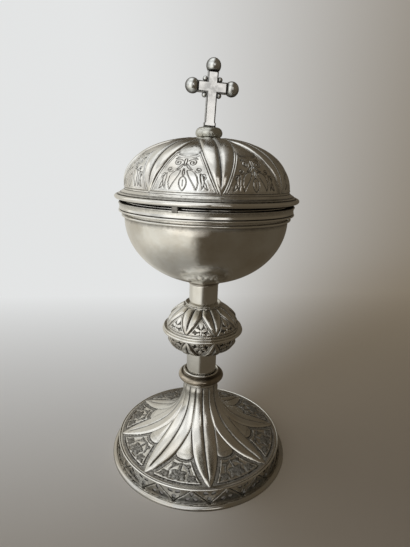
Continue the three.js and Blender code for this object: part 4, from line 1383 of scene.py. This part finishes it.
def make_cross_balls():
    """Three cast balls, each turned so that its flat seat lies on the end of its arm: a circle's arc from
    the pole down to the seat, carried round the ball's own axis."""
    ball, centres, crossing = cross_places()
    columns, seat = 96, math.sqrt(ball ** 2 - SEAT_RADIUS ** 2) - 0.1 * MM
    sweep = arc(0.0, 0.0, ball, ball, 90, math.degrees(math.asin(-seat / ball)), 34)
    sweep[0, 0] = 0.0
    line = profile_of(sweep, np.linspace(sweep[-1], [0.0, sweep[-1][1]], 4)[1:])
    by_seat = 0.9 * bell(np.repeat(line[:, 1], columns) + seat, 0.5 * MM)
    for side, centre in centres.items():
        spin = np.array((centre - crossing).normalized().to_track_quat("Z", "Y").to_matrix())
        points = revolved(line, columns) @ spin.T + np.array(centre)
        masks = {"recess": np.maximum(by_seat, painted_dark_rim(points - centre, ball))}
        piece(f"ball_{side}", f"cross_ball_{side}", points, grid_faces(len(line), columns, False),
              ("Cast Silver",), masks)


def make_cross_beads():
    """Four small beads soldered into the corners of the crossing, flattened against both arms."""
    low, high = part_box("cross_bead_upper_left")
    bead, wall, rows, columns = (high.y - low.y) / 2, 1.0 * MM, 21, 40
    around = np.linspace(0.0, 2 * math.pi, columns, endpoint=False)
    up = np.linspace(-math.pi / 2, math.pi / 2, rows)[:, None]
    sphere = np.stack(np.broadcast_arrays(np.cos(up) * np.cos(around), np.sin(up),
                                          np.cos(up) * np.sin(around)), -1).reshape(-1, 3)
    for level, side_z in (("upper", 1), ("lower", -1)):
        for hand, side_x in (("left", -1), ("right", 1)):
            low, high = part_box(f"cross_bead_{level}_{hand}")
            centre = np.array([low.x + bead if side_x < 0 else high.x - bead, 0.0,
                               high.z - bead if side_z > 0 else low.z + bead])
            points = bead * sphere
            for axis, side in ((0, side_x), (2, side_z)):
                points[:, axis] = side * np.maximum(side * points[:, axis], -wall)
            contact = np.maximum(-side_x * points[:, 0], -side_z * points[:, 2])
            masks = {"recess": np.maximum(smooth_step(contact, 0.2 * MM, wall), painted_dark_rim(points, bead))}
            piece(f"bead_{level}_{hand}", f"cross_bead_{level}_{hand}", points + centre,
                  grid_faces(rows, columns, False), ("Cast Silver",), masks)


# Hidden fittings keep their construction meshes

def dress_fittings():
    for node in ("tie_rod", "foot_washer", "foot_nut", "finial_stud", "finial_nut", "cup_boss"):
        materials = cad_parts[node].data.materials
        materials.clear()
        materials.append(metal("Dark Turned Silver" if node == "cup_boss" else "Fitting Brass"))


# Stage

CAMERA_HEADING = math.radians(-8.11)
CAMERA_PITCH = math.radians(15.32)
CAMERA_ROLL = math.radians(1.95)
CAMERA_PLACE = (-33.4 * MM, -237.7 * MM, 190.7 * MM)
FOCAL_PIXELS = 393.4
IMAGE_HEIGHT = 547
AHEAD = (-math.sin(CAMERA_HEADING), math.cos(CAMERA_HEADING), 0.0)

# Each soft screen: its name, place, target and size
SCREENS = (("side_screen", (-0.55, 0.10, 0.36), (0.0, 0.0, 0.15), (0.5, 0.5)),
           ("front_screen", (-0.24, -0.345, 0.27), (-0.04, 0.05, 0.27), (0.40, 0.52)),
           ("top_screen", (-0.16, 0.05, 0.82), (0.0, 0.0, 0.2), (0.45, 0.5)),
           ("cross_screen", (0.068, -0.488, 0.322), (0.0, 0.0, 0.235), (0.18, 0.22)))


def projected(tree, place, axis):
    """How far each place or direction lies along an axis."""
    return add_node(tree, "ShaderNodeVectorMath", {0: place, 1: axis},
                    operation="DOT_PRODUCT").outputs["Value"]


def left_of(tree, place, low, high, lean=0.0):
    """A ramp from dark to light across the upright plane through the view, light on its left."""
    value = projected(tree, place, (-math.cos(CAMERA_HEADING), -math.sin(CAMERA_HEADING), lean))
    return ramped(tree, value, low, high)


def stage_finish(settings):
    """The floor, its colour darker towards the right as painted shade, lit as light falls on it. Where the
    camera sees it from a distance it glows with the far backdrop's painted light, lighter on the left and
    darker on the right, and for the metal to mirror it glows with a painted reflection of the studio's two
    halves."""
    made = bpy.data.materials.new("Plain Floor")
    made.use_nodes = True
    tree = made.node_tree
    shader = tree.nodes["Principled BSDF"]
    place = add_node(tree, "ShaderNodeTexCoord").outputs["Object"]
    grain = noise(tree, place, 60 * MM, 3.0)
    # Painted shade: the floor's colour darkens from left to right.
    plain = mixed(tree, left_of(tree, place, -0.45, 0.40), settings.shaded_floor, settings.floor)
    plug(tree, shader.inputs, {
        "Specular IOR Level": 0.15,
        "Base Color": mixed(tree, maths(tree, "MULTIPLY", grain, 0.08), plain, (0.2, 0.19, 0.18)),
        "Roughness": maths(tree, "ADD", 0.65, maths(tree, "MULTIPLY", grain, 0.2))})

    # Painted reflection: for glossy rays the floor glows pale on the left and dark on the right, darker near
    # the object and further back.
    away = add_node(tree, "ShaderNodeVectorMath", {0: place}, operation="LENGTH").outputs["Value"]
    bearing = add_node(tree, "ShaderNodeVectorMath", {0: place}, operation="NORMALIZE").outputs["Vector"]
    warm = tuple(c * part for c, part in zip(settings.bright_mirrored, (1.04, 1.01, 0.94)))
    pale = mixed(tree, ramped(tree, away, 0.06, 0.30), tuple(0.38 * c for c in warm), warm)
    behind = ramped(tree, projected(tree, place, AHEAD), -0.06, 0.16)
    pale = mixed(tree, maths(tree, "MULTIPLY", behind, 0.28), pale, (0.12, 0.11, 0.09))
    low_dark = tuple(0.80 * c for c in settings.dim_mirrored)
    mirrored = mixed(tree, left_of(tree, bearing, 0.09, 0.41), low_dark, pale)
    # Painted light: for camera rays the far floor and backdrop glow lighter on the left and darker on the
    # right.
    painted_backdrop_light = mixed(tree, left_of(tree, bearing, -0.75, 0.25, -0.12), settings.shaded_backdrop,
                    settings.lit_backdrop)

    depth = maths(tree, "ADD", projected(tree, place, (0.0, 1.0, 0.0)), 0.11)
    farness = maths(tree, "POWER", maths(tree, "DIVIDE", depth, 0.44, clamp=True), 0.9)
    for axis, near, far in (((0.81, -0.58, 0.0), 0.15, 0.90), ((0.0, -1.0, 0.0), 0.30, 1.0)):
        farness = maths(tree, "MAXIMUM", farness, ramped(tree, projected(tree, place, axis), near, far))
    path = add_node(tree, "ShaderNodeLightPath").outputs
    seen = shader.outputs[0]
    for factor, glow in ((maths(tree, "MULTIPLY", farness, path["Is Camera Ray"]), painted_backdrop_light),
                         (path["Is Glossy Ray"], mirrored)):
        light = add_node(tree, "ShaderNodeEmission", {"Color": glow}).outputs[0]
        seen = add_node(tree, "ShaderNodeMixShader", {0: factor, 1: seen, 2: light}).outputs[0]
    plug(tree, tree.nodes["Material Output"].inputs, {"Surface": seen})
    return made


def make_backdrop(settings):
    """A floor that runs back and curves up into a wall: straight, a quarter circle, straight."""
    depth, bend, wall, width, columns = 0.55, 1.0, 2.2, 2.6, 30
    run = np.stack([np.linspace(-1.6, depth, 20), np.zeros(20)], 1)
    turn = arc(depth, bend, bend, bend, -90, 0, 24)
    rise = np.stack([np.full(8, depth + bend), np.linspace(bend, wall, 8)], 1)
    line = np.concatenate([run[:-1], turn[:-1], rise])
    across = np.linspace(-width, width, columns)
    points = np.stack(np.broadcast_arrays(across, line[:, :1], line[:, 1:]), -1).reshape(-1, 3)
    first = (np.arange(len(line) - 1)[:, None] * columns + np.arange(columns - 1)).ravel()
    faces = np.stack([first, first + 1, first + columns + 1, first + columns], 1)
    mesh = bpy.data.meshes.new("backdrop")
    mesh.from_pydata(points.tolist(), [], faces.tolist())
    mesh.polygons.foreach_set("use_smooth", np.ones(len(faces), bool))
    mesh.materials.append(stage_finish(settings))
    mesh.update()
    made = bpy.data.objects.new("backdrop", mesh)
    bpy.context.scene.collection.objects.link(made)


def make_world(settings):
    """Dim light from all round that is brighter from the left and above. The metal mirrors a studio with a
    pale left half and a dark right half, and the camera sees the backdrop's colour past its edges."""
    world = bpy.data.worlds.new("Studio")
    bpy.context.scene.world = world
    world.use_nodes = True
    tree = world.node_tree
    direction = add_node(tree, "ShaderNodeTexCoord").outputs["Generated"]
    light = mixed(tree, left_of(tree, direction, 0.0, 0.3, 0.35), settings.dim_side, settings.bright_side)
    upward = maths(tree, "MULTIPLY", projected(tree, direction, (0.0, 0.0, 1.0)), 0.8)
    depth = maths(tree, "ADD", maths(tree, "ABSOLUTE", projected(tree, direction, AHEAD)), upward)
    half_bright = tuple(0.45 * c for c in settings.bright_mirrored)
    pale = mixed(tree, ramped(tree, depth, 0.15, 0.80), half_bright, settings.bright_mirrored)
    mirrored = mixed(tree, left_of(tree, direction, 0.09, 0.38, 0.38), settings.dim_mirrored, pale)
    path = add_node(tree, "ShaderNodeLightPath").outputs
    seen = mixed(tree, path["Is Glossy Ray"], light, mirrored)
    beyond = tuple((a + b) / 2 for a, b in zip(settings.lit_backdrop, settings.shaded_backdrop))
    plug(tree, tree.nodes["Background"].inputs, {"Color": mixed(tree, path["Is Camera Ray"], seen, beyond)})


def make_lamp(name, place, target, size, brightness):
    """A soft screen: a rectangle that faces its target, its power from its brightness and its area."""
    lamp = bpy.data.lights.new(name, "AREA")
    lamp.shape = "RECTANGLE"
    lamp.size, lamp.size_y = size
    lamp.energy = brightness * math.pi * size[0] * size[1]
    lamp.color = (1.0, 0.985, 0.96)
    made = bpy.data.objects.new(name, lamp)
    made.location = place
    made.rotation_mode = "QUATERNION"
    made.rotation_quaternion = (Vector(place) - Vector(target)).to_track_quat("Z", "Y")
    bpy.context.scene.collection.objects.link(made)


def make_camera():
    """The photograph's view: the focal length in pixels, carried to the sensor's long side."""
    lens = bpy.data.cameras.new("view")
    lens.sensor_width = 36.0
    lens.lens = FOCAL_PIXELS * lens.sensor_width / IMAGE_HEIGHT
    lens.clip_start = 0.01
    made = bpy.data.objects.new("view", lens)
    bpy.context.scene.collection.objects.link(made)
    spin = (Matrix.Rotation(CAMERA_HEADING, 4, "Z") @ Matrix.Rotation(math.pi / 2 - CAMERA_PITCH, 4, "X")
            @ Matrix.Rotation(CAMERA_ROLL, 4, "Z"))
    made.matrix_world = Matrix.Translation(CAMERA_PLACE) @ spin
    bpy.context.scene.camera = made


# Operators

class CiboriumOperator:
    """What the operators of the pieces share: each calls its makers in order."""
    bl_options = {"REGISTER", "UNDO"}
    makers = ()

    def execute(self, context):
        for make in self.makers:
            make()
        return {"FINISHED"}


class CIBORIUM_OT_stage(bpy.types.Operator):
    """Floor, backdrop, soft light and the camera at the photograph's view"""
    bl_idname = "ciborium.stage"
    bl_label = "Stage"

    def execute(self, context):
        settings = context.scene.ciborium.stage
        context.scene.view_settings.view_transform = "Standard"
        make_camera()
        make_world(settings)
        make_backdrop(settings)
        for lamp in SCREENS:
            make_lamp(*lamp, getattr(settings, lamp[0].replace("screen", "lamp")))
        return {"FINISHED"}


class CIBORIUM_OT_base(CiboriumOperator, bpy.types.Operator):
    """Rolled flange, pierced gallery and the wire above it"""
    bl_idname = "ciborium.base"
    bl_label = "Base"
    makers = (make_foot_flange, make_gallery, make_foot_wire)


class CIBORIUM_OT_foot(CiboriumOperator, bpy.types.Operator):
    """Chased foot with its petals, tongues and foliage panels"""
    bl_idname = "ciborium.foot"
    bl_label = "Foot"
    makers = (make_foot_sheet,)


class CIBORIUM_OT_stem(CiboriumOperator, bpy.types.Operator):
    """Neck ring, ring collar, tubes and the rings under the cup"""
    bl_idname = "ciborium.stem"
    bl_label = "Stem"
    makers = (make_neck_ring, make_stem_collar, make_tubes, make_cup_collar)


class CIBORIUM_OT_knop(CiboriumOperator, bpy.types.Operator):
    """Both chased halves of the knop, its girdle and its flared lip"""
    bl_idname = "ciborium.knop"
    bl_label = "Knop"
    makers = (make_knop, make_girdle, make_knop_lip)


class CIBORIUM_OT_cup(CiboriumOperator, bpy.types.Operator):
    """Bowl, moulded band, wire and keying peg"""
    bl_idname = "ciborium.cup"
    bl_label = "Cup"
    makers = (make_bowl, make_rim_band, make_rim_bead, make_peg)


class CIBORIUM_OT_lid(CiboriumOperator, bpy.types.Operator):
    """Stepped flange, bezel and the chased and engraved dome"""
    bl_idname = "ciborium.lid"
    bl_label = "Lid"
    makers = (make_lid_flange, make_bezel, make_dome)


class CIBORIUM_OT_finial(CiboriumOperator, bpy.types.Operator):
    """Collar and button under the cross"""
    bl_idname = "ciborium.finial"
    bl_label = "Finial"
    makers = (make_finial,)


class CIBORIUM_OT_cross(CiboriumOperator, bpy.types.Operator):
    """Cast cross with its three balls and four beads"""
    bl_idname = "ciborium.cross"
    bl_label = "Cross"
    makers = (make_cross_body, make_cross_balls, make_cross_beads)


class CIBORIUM_OT_fittings(CiboriumOperator, bpy.types.Operator):
    """Finish of the hidden rod, stud, washer, nuts and boss"""
    bl_idname = "ciborium.fittings"
    bl_label = "Fittings"
    makers = (dress_fittings,)


STEPS = (CIBORIUM_OT_stage, CIBORIUM_OT_base, CIBORIUM_OT_foot, CIBORIUM_OT_stem, CIBORIUM_OT_knop,
         CIBORIUM_OT_cup, CIBORIUM_OT_lid, CIBORIUM_OT_finial, CIBORIUM_OT_cross, CIBORIUM_OT_fittings)


class CIBORIUM_PT_panel(bpy.types.Panel):
    """Lists the steps and the settings"""
    bl_idname = "CIBORIUM_PT_panel"
    bl_label = "Covered Ciborium"
    bl_space_type = "VIEW_3D"
    bl_region_type = "UI"
    bl_category = "Ciborium"

    def draw(self, context):
        settings = context.scene.ciborium
        for group in (settings.foot, settings.knop, settings.lid, settings.finish, settings.stage):
            column = self.layout.column(align=True)
            for name in group.__annotations__:
                column.prop(group, name)
        for step in STEPS:
            self.layout.operator(step.bl_idname)


CLASSES = (FootSizes, KnopSizes, LidSizes, FinishSettings, StageSettings, CiboriumSettings, *STEPS,
           CIBORIUM_PT_panel)


def register():
    for item in CLASSES:
        bpy.utils.register_class(item)
    bpy.types.Scene.ciborium = PointerProperty(type=CiboriumSettings)


def unregister():
    del bpy.types.Scene.ciborium
    for item in reversed(CLASSES):
        bpy.utils.unregister_class(item)


def main():
    register()
    for step in STEPS:
        group, name = step.bl_idname.split(".")
        getattr(getattr(bpy.ops, group), name)()


if __name__ == "__main__":
    main()
